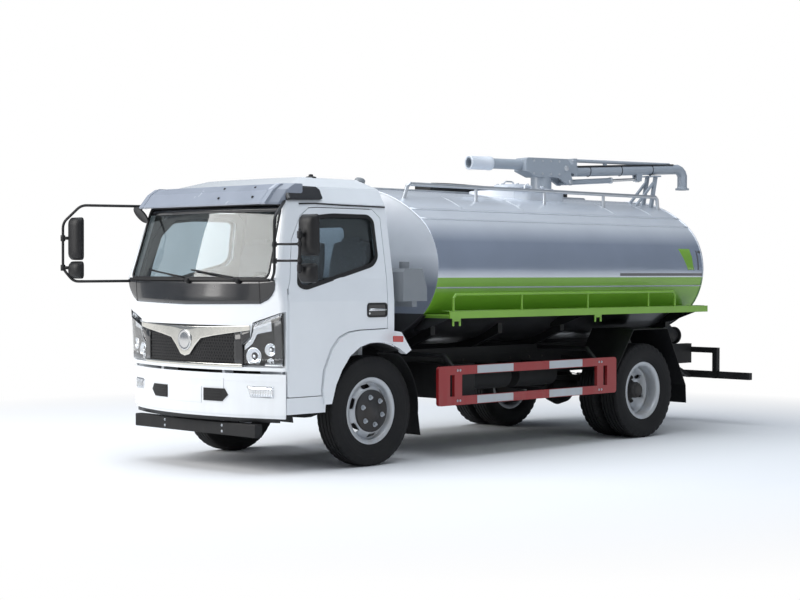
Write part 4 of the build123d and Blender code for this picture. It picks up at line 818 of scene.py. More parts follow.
def visor_cap(shape, side):
    """The wedge that closes the end of the visor."""
    outline = [(1.122, 2.262), (1.128, 2.276), (1.034, 2.392), (0.942, 2.446), (0.856, 2.446), (0.856, 2.372),
               (1.046, 2.276)]
    skin_over(shape, [[shape.verts.new(at(x - back, side * y, z)) for x, z in outline]
                      for y, back in ((0.796, 0.0), (0.850, 0.030), (0.908, 0.120))])


def windscreen_trim():
    """Rubber seal round the windscreen, wipers, and the visor's fixings and end caps."""
    loop = rounded_loop([(-0.935, 1.645), (0.935, 1.645), (0.890, 2.268), (-0.890, 2.268)], 0.06, 6)
    dense = []
    for a, b in zip(loop, loop[1:] + loop[:1]):
        steps = max(1, int((b - a).length / 0.08))
        dense += [a + (b - a) * (s / steps) for s in range(steps)]
    piece("windscreen_seal", black_plastic, "cab",
          (tube, [cab_front(p.x, p.y, -0.002) for p in dense], 0.011, 8, True), smooth=True)
    band_low, band_high = even([(0.905, 2.205)]), even([(0.893, 2.262)])
    piece("windscreen_top_band", gloss_black, "cab",
          (panel, cab_front, band_low, band_high, -0.011, 0.002, 30, 2), smooth=True)
    quarters = (0, 0.25, 0.5, 0.75, 1)
    for name, pivot, tip, far in (("centre", 0.00, -0.36, -0.62), ("left", 0.62, 0.30, 0.02)):
        knob = [(0, -0.006), (0.024, -0.006), (0.022, 0.022), (0.012, 0.034), (0, 0.035)]
        arm = [cab_front(pivot + (tip - pivot) * t, 1.628 + 0.060 * t, 0.034 - 0.006 * t)
               for t in (0, 0.15, 0.5, 0.85, 1)]
        blade = [cab_front(pivot - 0.06 + (far - pivot + 0.06) * t, 1.652 + 0.062 * t, 0.016)
                 for t in quarters]
        bridge = [cab_front(pivot - 0.10 + (far - pivot + 0.16) * t, 1.655 + 0.060 * t,
                            0.026 + 0.006 * sin(pi * t))
                  for t in quarters]
        piece(f"wiper_{name}", black_plastic, "cab", (lathe_on, cab_front, pivot, 1.622, knob, 0.006, 20),
              (tube, arm, [0.010, 0.009, 0.006, 0.005, 0.005], 8), (tube, blade, 0.007, 6),
              (tube, bridge, 0.004, 6),
              smooth=True)
    for (side, name), (surface, _) in zip(SIDES, both(cab_side)):
        end_low = [(0.52, 2.326), (0.56, 2.312), (0.93, 2.300)]
        end_high = [(0.52, 2.404), (0.55, 2.428), (0.86, 2.432), (0.93, 2.400)]
        piece(f"visor_end_{name}", gloss_black, "cab",
              (panel, surface, end_low, end_high, 0.022, 0.034, 10, 5),
              smooth=True, edge=0.006)
        piece(f"visor_cap_{name}", visor_plastic, "cab", (visor_cap, side), edge=0.004)
    places = [at(1.083, y, 2.330) for y in (0.215, 0.660)] + [at(0.985, y, 2.414) for y in (0.180, 0.585)]
    piece("visor_fixings", black_plastic, "cab", (bolt_heads, places, (0.75, 0, 0.66), 0.008, 0.006))


def roof_and_sides():
    """Window frames, handles, gutters, markers, arch linings, steps and what stands on the roof."""
    window = rounded_loop([(0.912, 1.585), (0.880, 1.782), (0.812, 2.032), (0.675, 2.170), (0.430, 2.195),
                           (0, 2.195),
                           (-0.060, 2.150), (-0.065, 1.821), (0.005, 1.751), (0.820, 1.550)], 0.05)
    handle = rounded_loop([(-0.140, 1.304), (0.106, 1.304), (0.106, 1.430), (-0.140, 1.430)], 0.035, 6)
    marker = rounded_loop([(-0.246, 1.083), (-0.124, 1.089), (-0.124, 1.142), (-0.246, 1.137)], 0.010, 4)
    flares = both(flare_side)
    for (side, name), (surface, _), (flare, _) in zip(SIDES, both(cab_side), flares):
        door = f"{name}_door"
        piece(f"window_frame_{name}", black_plastic, door,
              (ring_on, surface, shrunk(window, -0.006), 0.036, 0.003, 0.006))
        piece(f"handle_bezel_{name}", black_plastic, door, (ring_on, surface, handle, 0.016, 0.007, 0.007))
        piece(f"handle_well_{name}", gloss_black, door,
              (plate_on, surface, shrunk(handle, 0.014), 0.0015, 0.002))
        swell = [sin(pi * k / 7) for k in range(8)]
        grip = [surface(-0.120 + 0.030 * k, 1.368 + 0.004 * s, 0.006 + 0.010 * s)
                for k, s in enumerate(swell)]
        grip_radii = [0.010, 0.013, 0.014, 0.014, 0.014, 0.014, 0.013, 0.010]
        piece(f"handle_grip_{name}", bright_steel, door, (tube, grip, grip_radii, 10), smooth=True)
        lock = [(0, 0), (0.012, 0), (0.012, 0.003), (0.005, 0.004), (0, 0.002)]
        piece(f"door_lock_{name}", bright_steel, door, (lathe_on, surface, 0.075, 1.34, lock, 0.0015, 20),
              smooth=True)
        gutter = [surface(x, z, 0.004)
                  for x, z in ((-0.215, 2.272), (0.30, 2.275), (0.62, 2.282), (0.80, 2.274))]
        piece(f"gutter_{name}", black_plastic, "cab", (tube, gutter, 0.007, 6), smooth=True)
        piece(f"flare_marker_{name}", red_lens, "cab", (plate_on, flare, marker, 0.010, 0.012), edge=0.002)
        arc = [radians(14 + 106 * k / 26) for k in range(27)]
        lining = [[[at(r * cos(a), side * y, wheel_height + r * sin(a)) for a in arc]
                   for y in (0.70, 0.87, 1.04)]
                  for r in (0.597, 0.592)]
        piece(f"arch_lining_{name}", black_plastic, "cab", (shell, *lining), smooth=True)
    for side, name in SIDES:
        treads = [at(0.690 + 0.045 * k, side * 0.985, 0.6575) for k in range(7)]
        piece(f"step_tread_{name}", black_plastic, "cab",
              *[(block, tread, (0.020, 0.11, 0.006)) for tread in treads],
              edge=0.002)
    base = [(0, -0.004), (0.050, -0.004), (0.046, 0.008), (0.030, 0.013), (0, 0.014)]
    cap = [(0, -0.004), (0.022, -0.004), (0.020, 0.018), (0.012, 0.024), (0, 0.025)]
    piece("roof_marker", black_plastic, "cab", (lathe, base, at(0.36, 0.60, 2.520), UP, 28),
          (lathe, cap, at(0.36, 0.60, 2.528), UP, 20), smooth=True)
    horn = [(0, -0.03), (0.030, -0.03), (0.030, 0.010), (0.046, 0.020), (0.048, 0.055), (0.036, 0.068),
            (0, 0.070)]
    piece("roof_horn", grey_plastic, "cab", (lathe, horn, at(-0.185, 0.640, 2.470), (-0.30, 0, 0.95), 28),
          smooth=True)


cowl()
grille()
front_lamps_and_vents()
windscreen_trim()
roof_and_sides()


# ------------------------------------------------------------------ tank
side_arc, side_centre = 0.590, 0.463
crown_arc, crown_centre = 1.3512, 1.1318
shoulder = 2.2043
dish_arc = 6.0
tank_top, tank_foot, tank_tall = 2.483, 0.989, 1.494
cladding_tail, cladding_nose = -4.952, -0.792


def tank_wall(x, z, lift):
    """A point on the left side of the tank's oval at height z, moved out by lift."""
    if z > shoulder:
        centre, arc = Vector((0, crown_centre)), crown_arc
    elif z < 2 * tank_centre_z - shoulder:
        centre, arc = Vector((0, 2 * tank_centre_z - crown_centre)), crown_arc
    else:
        centre, arc = Vector((side_centre, tank_centre_z)), side_arc
    y = centre.x + sqrt(max(arc ** 2 - (z - centre.y) ** 2, 0))
    out = (Vector((y, z)) - centre).normalized() * lift
    return at(x, y + out.x, z + out.y)


def tank_crown(x, y, lift):
    """The arched top of the tank."""
    z = crown_centre + sqrt(crown_arc ** 2 - y * y)
    out = (Vector((y, z)) - Vector((0, crown_centre))).normalized() * lift
    return at(x, y + out.x, z + out.y)


def tank_oval(steps):
    """The tank's outline as a closed ring of points."""
    heights = [tank_top - tank_tall * (1 - cos(pi * k / steps)) / 2 for k in range(1, steps)]
    left = [tank_wall(0, z, 0.0) for z in heights]
    return [at(0, 0, tank_top), *left, at(0, 0, tank_foot), *[mirrored(p) for p in reversed(left)]]


def end_rim(point, end, inward):
    """Where the dished head meets the wall: further in at the sides than at the top."""
    height = point.z - tank_centre_z
    sag = dish_arc - sqrt(dish_arc ** 2 - point.y ** 2 - height ** 2)
    return at(end + inward * (sag + 0.004), point.y, point.z)


def tank_trim():
    """Rolled seams, lap joints, crown joints, the lip over the walkway and the marks at the tail."""
    seams = [(tube, [end_rim(p, end, inward) for p in tank_oval(40)], 0.009, 8, True)
             for end, inward in ((-0.690, -1), (-5.055, 1))]
    piece("tank_end_seams", tank_skin, "chassis", *seams, smooth=True)
    walls = [surface for surface, _ in both(tank_wall)]
    laps = [(strip, wall, -4.982, -0.762, z, z + height, 0.006, 0.008, 40, 2)
            for wall in walls for z, height in ((2.272, 0.014), (2.182, 0.012))]
    piece("tank_lap_joints", tank_skin, "chassis", *laps, smooth=True)
    joints = [(tube, [tank_crown(x, side * y, 0.0005) for y in (0.40, 0.47, 0.54, 0.61, 0.68)], 0.003, 6)
              for side, _ in SIDES for x in (-1.52, -2.42, -3.90, -4.55)]
    piece("crown_joints", galvanised, "chassis", *joints, smooth=True)
    lips = [(strip, wall, cladding_tail, cladding_nose, 1.553, 1.563, 0.010, 0.014, 40, 1) for wall in walls]
    piece("band_lip", stripe_paint, "chassis", *lips, smooth=True)
    stripes = []
    for wall in walls:
        stripes += [(strip, wall, cladding_tail, -3.50, 1.662, 1.690, 0.0015, 0.003, 20, 1),
                    (strip, wall, -4.885, -4.865, 1.724, 1.93, 0.0015, 0.003, 1, 6),
                    (strip, wall, cladding_tail, -4.900, 1.905, 1.93, 0.0015, 0.003, 2, 2)]
    piece("tail_stripes", stripe_grey, "chassis", *stripes)
    flash_low = [(-4.798, 1.724), (-4.686, 1.724), (-4.557, 1.945)]
    flash_high = [(-4.798, 1.726), (-4.759, 1.949), (-4.557, 1.947)]
    piece("tail_flash", green_paint, "chassis",
          *[(panel, wall, flash_low, flash_high, 0.0016, 0.003, 10, 8) for wall in walls], smooth=True)
    walkway_edge, clips = 1.188, []
    for side, _ in SIDES:
        for x in (-0.885, -2.955):
            clips.append((block, at(x, side * walkway_edge, 1.268), (0.110, 0.010, 0.030)))
            clips += [(block, at(x + leg, side * walkway_edge, 1.236), (0.022, 0.010, 0.050))
                      for leg in (-0.044, 0.044)]
    piece("walkway_clips", green_paint, "chassis", *clips, edge=0.002)
    treads = [(tube, [at(x, side * (1.085 + 0.021 * row), 1.3462)
                      for x in (-4.82, -3.9, -2.9, -1.9, -0.81)], 0.0022, 6)
              for side, _ in SIDES for row in range(5)]
    piece("walkway_tread", green_paint, "chassis", *treads, smooth=True)


def around(centre, radius, count, start=0.0):
    """Places on a level circle."""
    angles = [start + 2 * pi * k / count for k in range(count)]
    return [centre + Vector((radius * cos(angle), radius * sin(angle), 0)) for angle in angles]


def hatch_fittings():
    """Lugs round the neck, a lid handle with its nuts, and a breather on the dome."""
    neck = at(-2.850, 0.160, 0)
    lug_places = around(neck + Vector((0, 0, 2.554)), 0.181, 6, radians(30))
    for k in (0, 2, 3, 4, 5):
        turn = Matrix.Rotation(radians(30 + 60 * k), 3, "Z")
        piece(f"hatch_lug_{k}", galvanised, "chassis", (block, lug_places[k], (0.030, 0.030, 0.022), turn),
              edge=0.003)
    lid = neck + Vector((0, 0, 2.592))
    grip = [lid + Vector((x, -0.05, z))
            for x, z in ((-0.075, -0.004), (-0.070, 0.024), (-0.045, 0.036), (0.045, 0.036),
                         (0.070, 0.024), (0.075, -0.004))]
    nut = [(0, -0.002), (0.014, -0.002), (0.014, 0.008), (0.009, 0.013), (0, 0.014)]
    piece("hatch_handle", galvanised, "hatch", (tube, grip, 0.008, 10),
          *[(lathe, nut, spot, UP, 16) for spot in around(lid, 0.155, 6)], smooth=True)
    cowled = [(0, -0.02), (0.030, -0.02), (0.030, 0.030), (0.050, 0.040), (0.052, 0.062), (0.020, 0.075),
              (0, 0.076)]
    plain = [(0, -0.02), (0.022, -0.02), (0.022, 0.045), (0.034, 0.05), (0.034, 0.062), (0, 0.064)]
    piece("dome_breather", galvanised, "chassis", (lathe, cowled, at(-3.38, -0.16, 2.530), UP, 28),
          (lathe, plain, at(-3.30, 0.18, 2.530), UP, 24), smooth=True)


def spare_hoses():
    """Two ribbed suction hoses laid in the trough."""
    length, ribs, hollow, crest, trough_front = 2.0, 240, 0.042, 0.047, -2.47
    for name, y, z in (("low", -0.655, 2.505), ("high", -0.625, 2.582)):
        path = [at(trough_front - length / ribs * k, y, z + 0.004 * sin(k * 0.045)) for k in range(ribs + 1)]
        radii = [crest if k % 2 else hollow for k in range(ribs + 1)]
        piece(f"spare_hose_{name}", black_plastic, "chassis", (tube, path, radii, 16), smooth=True)


tank_trim()
hatch_fittings()
spare_hoses()


# ------------------------------------------------------------------ chassis
def side_guard_stripes():
    """Reflective bands on the red guards, with the bolts that hold the bars."""
    guard_face = 1.1875
    bands = [(block, at((near + far) / 2, side * guard_face, z), (near - far, 0.0035, 0.072))
             for side, _ in SIDES for near, far in ((-1.172, -1.677), (-2.206, -2.713))
             for z in (0.536, 0.811)]
    piece("guard_stripes", stripe_paint, "chassis", *bands, edge=0.001)
    bolts = []
    for side, _ in SIDES:
        places = [at(x, side * 1.187, z) for x in (-0.905, -0.94, -2.98, -3.02) for z in (0.535, 0.810)]
        bolts.append((bolt_heads, places, (0, side, 0), 0.008, 0.006))
    piece("guard_bolts", galvanised, "chassis", *bolts)


def tail_details():
    """Tail lamps in segments, reflectors on the beam, and the bolts of the frame."""
    low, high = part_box("tail_lamps")
    z, tall = (low.z + high.z) / 2, (high.z - low.z) * 0.80
    lamp_wide = 0.33
    for (side, name), edge_y in zip(SIDES, (high.y, low.y)):
        middle = edge_y - side * lamp_wide / 2
        for k, (share, material) in enumerate(((-0.33, red_lens), (0.0, amber_lens), (0.33, lamp_white))):
            y = middle - side * share * 0.30
            ribs = [(block, Vector((low.x - 0.009, y, z + tall * (0.24 * rib - 0.36))),
                     (0.004, 0.078, tall * 0.1))
                    for rib in range(4)]
            piece(f"tail_lamp_{name}_{k}", material, "chassis",
                  (block, Vector((low.x - 0.002, y, z)), (0.012, 0.085, tall)), *ribs, edge=0.002)
    reflector = [(0, 0), (0.026, 0), (0.028, 0.003), (0.022, 0.006), (0, 0.007)]
    piece("tail_reflectors", red_lens, "chassis", *[(lathe, reflector, at(-5.7853, y, 0.543), (-1, 0, 0), 24)
                                                    for y in (-0.95, -0.60, 0.60, 0.95)], smooth=True)
    beam = [at(-5.779, y, z) for y in (-0.70, 0.70) for z in (0.545, 0.760)]
    stations = {1: (1.02, 0.90, -0.45, -1.55, -1.85, -2.55, -2.85, -3.05, -4.55, -4.95, -5.30),
                -1: (1.02, 0.90, -0.45, -1.55, -1.85, -3.05, -4.55, -4.95, -5.30)}
    rail_face = 0.390
    rails = [(bolt_heads, [at(x, side * rail_face, z) for x in stations[side] for z in (0.72, 0.84)],
              (0, side, 0),
              0.011, 0.008) for side, _ in SIDES]
    piece("frame_bolts", cast_iron, "chassis", (bolt_heads, beam, (-1, 0, 0), 0.011, 0.008), *rails)
    front = [at(1.190, y, z) for y in (-0.392, 0.392) for z in (0.345, 0.395)]
    piece("front_bar_bolts", galvanised, "chassis", (bolt_heads, front, (1, 0, 0), 0.008, 0.006))


def spring_clamps():
    """U-bolts over the leaf springs, and the leaf edges between them."""
    parts = []
    for spring_x, seat_z in ((0.0, 0.500), (rear_axle_x, 0.556)):
        for side, _ in SIDES:
            for dx in (-0.060, 0.060):
                x = spring_x + dx
                parts += [(tube, [at(x, side * y, seat_z - 0.010), at(x, side * y, seat_z + 0.078)], 0.007, 8)
                          for y in (0.309, 0.395)]
                parts.append((tube, [at(x, side * y, seat_z + 0.074) for y in (0.309, 0.395)], 0.007, 8))
            for leaf in range(5):
                z = seat_z + 0.010 + 0.012 * leaf
                reach = 0.16 + 0.07 * leaf
                bend = reach * reach * 0.30
                parts += [(tube, [at(spring_x + dx, side * y, z + rise)
                                  for dx, rise in ((-reach, bend), (0, 0), (reach, bend))], 0.0022, 5)
                          for y in (0.3165, 0.3875)]
    piece("spring_clamps", cast_iron, "chassis", *parts, smooth=True)


def lines_and_straps():
    """Brake lines along the rails, and straps over the air tanks."""
    stations = (-0.3, -1.0, -1.7, -2.4, -3.2)
    rail_side, line_radius = 0.394, 0.004
    lines = [(tube, [at(x, side * (rail_side + 0.003 * (k % 2)), z) for k, x in enumerate(stations)],
              line_radius, 6)
             for side, _ in SIDES for z in (0.760, 0.778)]
    piece("brake_lines", black_plastic, "chassis", *lines, smooth=True)
    low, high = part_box("air_tanks")
    straps = [low.x + (high.x - low.x) * share for share in (0.2, 0.8)]
    piece("tank_straps", galvanised, "chassis",
          *[(tube, [Vector((x, low.y - 0.001, z)) for z in (high.z - 0.04, low.z + 0.04)], 0.006, 6)
            for x in straps])


side_guard_stripes()
tail_details()
spring_clamps()
lines_and_straps()


# ------------------------------------------------------------------ wheels
def tread_wheel(name, body, y, x, segments, pitch, cut, depth, edge_from):
    """A tyre with grooved tread. Of every pitch steps round its shoulders, cut steps are sunk by depth."""
    half = [(0.2685, 0.072), (0.290, 0.078), (0.302, 0.088), (0.330, 0.104), (0.362, 0.114), (0.396, 0.1175),
            (0.424, 0.116), (0.446, 0.110), (0.462, 0.1045), (0.474, 0.100), (0.4815, 0.092)]
    for groove in (0.062, 0.022):
        half += [(0.4835, groove + 0.008), (0.4835, groove + 0.006), (0.470, groove + 0.004),
                 (0.470, groove - 0.004),
                 (0.4835, groove - 0.006)]
    profile = [(r, -d) for r, d in half] + half[::-1]
    shoulder_points = {k for k, (r, d) in enumerate(profile) if r > 0.44 and abs(d) > edge_from}

    def wave(s, k):
        return -depth if k in shoulder_points and s % pitch < cut else 0.0

    return piece(name, tyre_rubber, body,
                 (lathe, profile, at(x, y, wheel_height), ALONG_Y, segments, True, wave))


def hand_holes(centre, side, count, radius, long, wide, near, far):
    """A cutter with slots round a disc."""
    shape = bmesh.new()
    steps = [2 * pi * j / 16 for j in range(16)]
    for k in range(count):
        angle = 2 * pi * k / count + 0.35
        spoke = Vector((cos(angle), 0, sin(angle)))
        across = Vector((-sin(angle), 0, cos(angle)))
        loop = []
        for step in steps:
            stretch = (long - wide) / 2 if cos(step) > 0 else -(long - wide) / 2
            loop.append(across * (stretch + wide / 2 * cos(step)) + spoke * (wide / 2 * sin(step) + radius))
        skin_over(shape, [[shape.verts.new(centre + p + Vector((0, side * depth, 0))) for p in loop]
                          for depth in (near, far)])
    return placed("hole cutter", closed_mesh("hole cutter", shape))


def wheel_rim(name, body, side, centre_y, x, disc, holes):
    """Barrel with rolled flanges and a pressed disc with hand holes."""
    centre = at(x, side * centre_y, wheel_height)
    outside = [(0.2955, 0.0815), (0.2970, 0.078), (0.2955, 0.0745), (0.2860, 0.074), (0.2675, 0.070),
               (0.2660, 0.050),
               (0.2580, 0.030)]
    inside = [(0.2880, 0.0815), (0.2780, 0.0775), (0.2560, 0.0760), (0.2520, 0.050), (0.2460, 0.030)]
    barrel = [(r, -d) for r, d in outside] + outside[::-1] + inside + [(r, -d) for r, d in inside[::-1]]
    piece(f"{name}_barrel", wheel_paint, body,
          (lathe, [(r, side * d) for r, d in barrel], centre, ALONG_Y, 72, True), smooth=True)
    plate = piece(f"{name}_disc", wheel_paint, body,
                  (lathe, [(r, side * (d - centre_y)) for r, d in disc], centre, ALONG_Y, 72, True),
                  smooth=True)
    cutter = hand_holes(centre, side, *holes)
    settle(plate, "BOOLEAN", operation="DIFFERENCE", solver="EXACT", object=cutter)
    bpy.data.objects.remove(cutter)
    for face in plate.data.polygons:
        face.use_smooth = True
    return plate


def wheel_circle(x, y, radius, count, start=0.0):
    """Places on an upright circle about an axle."""
    angles = [start + 2 * pi * k / count for k in range(count)]
    return [at(x + radius * cos(angle), y, wheel_height + radius * sin(angle)) for angle in angles]


def hub_drum(name, body, side, x, profile):
    piece(name, cast_iron, body, (lathe, [(r, side * d) for r, d in profile], at(x, 0, wheel_height),
                                  ALONG_Y, 48),
          smooth=True)


def front_wheel(side, name):
    body, centre_y = f"front_wheel_{name}", 0.905
    tyre = tread_wheel(f"front_tread_{name}", body, side * centre_y, 0.0, 144, 3, 1, 0.0035, 0.088)
    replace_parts(tyre, f"front_tyre_{name}")
    disc = [(0.150, 0.972), (0.190, 0.972), (0.198, 0.966), (0.226, 0.938), (0.240, 0.930), (0.2515, 0.930),
            (0.2515, 0.938), (0.242, 0.939), (0.230, 0.947), (0.205, 0.973), (0.192, 0.981), (0.150, 0.981)]
    plate = wheel_rim(f"front_rim_{name}", body, side, centre_y, 0.0, disc,
                      (6, 0.217, 0.100, 0.034, 0.000, 0.095))
    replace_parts(plate, f"front_rim_{name}")
    hub_drum(f"front_hub_{name}", body, side, 0,
             [(0, 0.842), (0.172, 0.842), (0.176, 0.848), (0.176, 0.950), (0.186, 0.972), (0.186, 0.998),
              (0.180, 1.006),
              (0.092, 1.008), (0.088, 1.014), (0.078, 1.018), (0.070, 1.026), (0.050, 1.030),
              (0.046, 1.034), (0, 1.034)])
    spots = wheel_circle(0, side * 1.006, 0.122, 6, 0.3)
    stud = [(0, 0.020), (0.008, 0.020), (0.008, 0.030), (0.006, 0.032), (0, 0.032)]
    piece(f"front_nuts_{name}", galvanised, body, (bolt_heads, spots, (0, side, 0), 0.0155, 0.022),
          *[(lathe, stud, spot, (0, side, 0), 10) for spot in spots])


def rear_wheels(side, name):
    body, outer_y, inner_y = f"rear_wheels_{name}", 1.037, 0.757
    outer, _ = [tread_wheel(f"rear_tread_{which}_{name}", body, side * y, rear_axle_x, 180, 5, 2, 0.008,
                            0.070)
                for which, y in (("outer", outer_y), ("inner", inner_y))]
    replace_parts(outer, f"rear_tyres_{name}")
    disc = [(0.118, 0.9005), (0.172, 0.9005), (0.192, 0.908), (0.214, 0.936), (0.232, 0.968), (0.2515, 0.986),
            (0.2515, 0.996), (0.226, 0.982), (0.206, 0.946), (0.186, 0.920), (0.168, 0.9125), (0.118, 0.9125)]
    plate = wheel_rim(f"rear_rim_outer_{name}", body, side, outer_y, rear_axle_x, disc,
                      (6, 0.196, 0.044, 0.044, -0.20, 0.02))
    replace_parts(plate, f"rear_rims_{name}")
    inner_disc = [(r, outer_y + inner_y - d) for r, d in disc]
    wheel_rim(f"rear_rim_inner_{name}", body, side, inner_y, rear_axle_x, inner_disc,
              (6, 0.196, 0.044, 0.044, -0.02, 0.20))
    hub_drum(f"rear_hub_{name}", body, side, rear_axle_x,
             [(0, 0.702), (0.196, 0.702), (0.198, 0.710), (0.198, 0.780), (0.180, 0.790), (0.1175, 0.800),
              (0.1175, 0.930), (0.110, 0.940), (0.084, 0.946), (0.082, 1.030), (0.074, 1.050), (0.060, 1.056),
              (0.056, 1.072), (0, 1.072)])
    valve = [at(rear_axle_x + dx, side * y, wheel_height + 0.02)
             for dx, y in ((0.246, 1.0), (0.225, 1.035), (0.21, 1.06))]
    piece(f"rear_nuts_{name}", cast_iron, body,
          (bolt_heads, wheel_circle(rear_axle_x, side * 0.9125, 0.140, 6), (0, side, 0), 0.0155, 0.024),
          (bolt_heads, wheel_circle(rear_axle_x, side * 1.056, 0.062, 10), (0, side, 0), 0.006, 0.006),
          (tube, valve, 0.004, 6))


for side, name in SIDES:
    front_wheel(side, name)
    rear_wheels(side, name)


# ------------------------------------------------------------------ suction boom
boom_x = -3.5
boom_angle = radians(14.5)
boom_heading = Vector((cos(boom_angle), -sin(boom_angle), 0))
boom_across = Vector((sin(boom_angle), cos(boom_angle), 0))


def on_boom(u, v, z):
    """A point along the parked boom, v to its left, at height z."""
    return at(boom_x, 0, z) + boom_heading * u + boom_across * v


def boom_fittings():
    """Pale tail coupling, pin caps, flange bolts, hydraulic lines and the lip of the suction end."""
    sleeve = [(0.0545, 0.64), (0.070, 0.645), (0.0725, 0.66), (0.0725, 0.690), (0.0700, 0.70),
              (0.0700, 0.895),
              (0.0735, 0.905), (0.0735, 0.920), (0.066, 0.922), (0.0575, 0.918), (0.0545, 0.88)]
    piece("tail_coupling_sleeve", pale_paint, "turret",
          (lathe, sleeve, on_boom(0, 0, 2.828), boom_heading, 40, True),
          smooth=True)
    turret_half, pins = 0.110, []
    for side, _ in SIDES:
        for u, z, r in ((-0.250, 2.800, 0.030), (-0.300, 2.655, 0.021)):
            cap = [(0, -0.004), (r, -0.004), (r, 0.006), (r * 0.75, 0.010), (r * 0.3, 0.011), (0, 0.011)]
            pins.append((lathe, cap, on_boom(u, side * turret_half, z), boom_across * side, 24))
        spots = [on_boom(u, side * turret_half, z) for u in (-0.16, -0.05, 0.06, 0.17)
                 for z in (2.735, 2.870)]
        pins.append((bolt_heads, spots, boom_across * side, 0.009, 0.007))
    piece("turret_pins", galvanised, "turret", *pins)
    piece("slew_ring_bolts", galvanised, "chassis",
          (bolt_heads, around(at(boom_x, 0, 2.560), 0.118, 8), UP, 0.008, 0.006))
    pipe_radius = 0.0565

    def pipe_height(u):
        return 2.775 + (-0.42 - u) * 0.0487

    lines = [(tube, [on_boom(u, v, pipe_height(u) + 0.052 + lift)
                     for u in (-0.46, -0.80, -1.15, -1.50, -1.78)], 0.007, 8)
             for v, lift in ((0.036, 0.0), (-0.036, 0.006))]
    turns = [2 * pi * k / 24 for k in range(24)]
    clips = [(tube, [on_boom(u, pipe_radius * cos(t), pipe_height(u) + pipe_radius * sin(t)) for t in turns],
              0.004, 6, True) for u in (-0.62, -1.05, -1.48)]
    piece("boom_lines", black_plastic, "boom", *lines, *clips, smooth=True)
    lip = [(0.0505, 0.0), (0.074, 0.0), (0.0765, 0.004), (0.0765, 0.016), (0.074, 0.020), (0.056, 0.024),
           (0.0555, 0.040), (0.0545, 0.040)]
    piece("suction_lip", boom_paint, "boom", (lathe, lip, on_boom(-1.940, 0, 2.6155), UP, 40), smooth=True)
    spots = [on_boom(-0.385, side * 0.045, z) for side, _ in SIDES for z in (2.745, 2.890)]
    piece("boom_plate_bolts", galvanised, "boom", (bolt_heads, spots, boom_heading, 0.009, 0.007))
    foot, eye = on_boom(-0.300, 0, 2.655), on_boom(-1.300, 0, 2.720)
    gland = [(0.0165, 0.612), (0.033, 0.612), (0.033, 0.640), (0.029, 0.646), (0.0165, 0.646)]
    band = [(0.0295, 0.075), (0.033, 0.075), (0.033, 0.095), (0.0295, 0.095)]
    piece("lift_barrel_collars", galvanised, "lift_barrel",
          *[(lathe, profile, foot, eye - foot, 32, True) for profile in (gland, band)], smooth=True)


# ------------------------------------------------------------------ cab inside and mirrors
cushion_grid = 14


def cushion(shape, centre, size, crown, tilt):
    """A fine box whose faces swell and whose seams pull in."""
    turn = Matrix.Rotation(tilt, 3, "Y")
    corners = {}

    def swollen(u):
        pull = [sqrt(max(1 - (u.length_squared - part ** 2) * 0.16, 0)) for part in u]
        seam = 0.05 * cos(u.y * pi * 2.5) * (1 - u.y ** 2)
        rise = 1 + crown * (seam + 0.25 * (1 - u.x ** 2) * (1 - u.y ** 2)) if u.z > 0 else 1
        return Vector([part * p * side / 2 for part, p, side in zip(u, pull, size)]) * Vector((1, 1, rise))

    def corner(axis, sign, i, j):
        place = [2 * i - cushion_grid, 2 * j - cushion_grid]
        place.insert(axis, sign * cushion_grid)
        key = tuple(place)
        if key not in corners:
            corners[key] = shape.verts.new(centre + turn @ swollen(Vector([p / cushion_grid for p in place])))
        return corners[key]

    for axis in range(3):
        for sign in (-1, 1):
            for i in range(cushion_grid):
                for j in range(cushion_grid):
                    shape.faces.new([corner(axis, sign, a, b)
                                     for a, b in ((i, j), (i + 1, j), (i + 1, j + 1), (i, j + 1))])


def stuffed(name, centre, size, crown, degrees):
    made = piece(name, seat_cloth, "cab", (cushion, centre, size, crown, radians(degrees)), smooth=True)
    return made


def seats():
    bases = []
    for name, y, width, base in (("left", 0.620, 0.480, 1.150), ("middle", 0.0, 0.540, 1.222),
                                 ("right", -0.620, 0.480, 1.150)):
        thick = 1.445 - base - 0.06
        bases.append(stuffed(f"seat_base_{name}", at(0.170, y, 1.452 - thick / 2), (0.49, width, thick),
                             0.12, -2))
        stuffed(f"seat_back_{name}", at(-0.085, y, 1.715), (0.085, width, 0.53), 0.05, -8.5)
        stuffed(f"head_rest_{name}", at(-0.122, y, 1.955), (0.070, width * 0.5, 0.10), 0.05, -8)
        piece(f"seat_frame_{name}", black_plastic, "cab",
              (block, at(0.170, y, base + 0.030), (0.40, width * 0.8, 0.052)), edge=0.008)
    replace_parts(bases[0], "seats")


def mirror_head(shape, back_x, y, z, wide, tall, deep):
    """A shell that is flat at the back and crowned towards the front."""
    rings = []
    for share, inset, corner in ((0.0, 0.006, 0.034), (0.03, 0.0, 0.040), (0.45, 0.002, 0.048),
                                 (0.75, 0.014, 0.058),
                                 (0.92, 0.034, 0.060), (1.0, 0.060, 0.050)):
        w, h = wide / 2 - inset, tall / 2 - inset
        loop = rounded_loop([(-w, z - h), (w, z - h), (w, z + h), (-w, z + h)], corner, 7)
        rings.append([shape.verts.new(at(back_x + deep * share, y + p.x, p.y)) for p in loop])
    skin_over(shape, rings)


def clamp(shape, place, half, radius, edge=0.020):
    """A drum round an upright bar, its ends bevelled."""
    lathe(shape, [(0, -half), (edge, -half), (radius, 0.006 - half), (radius, half - 0.006), (edge, half),
                  (0, half)],
          place, UP, 20)


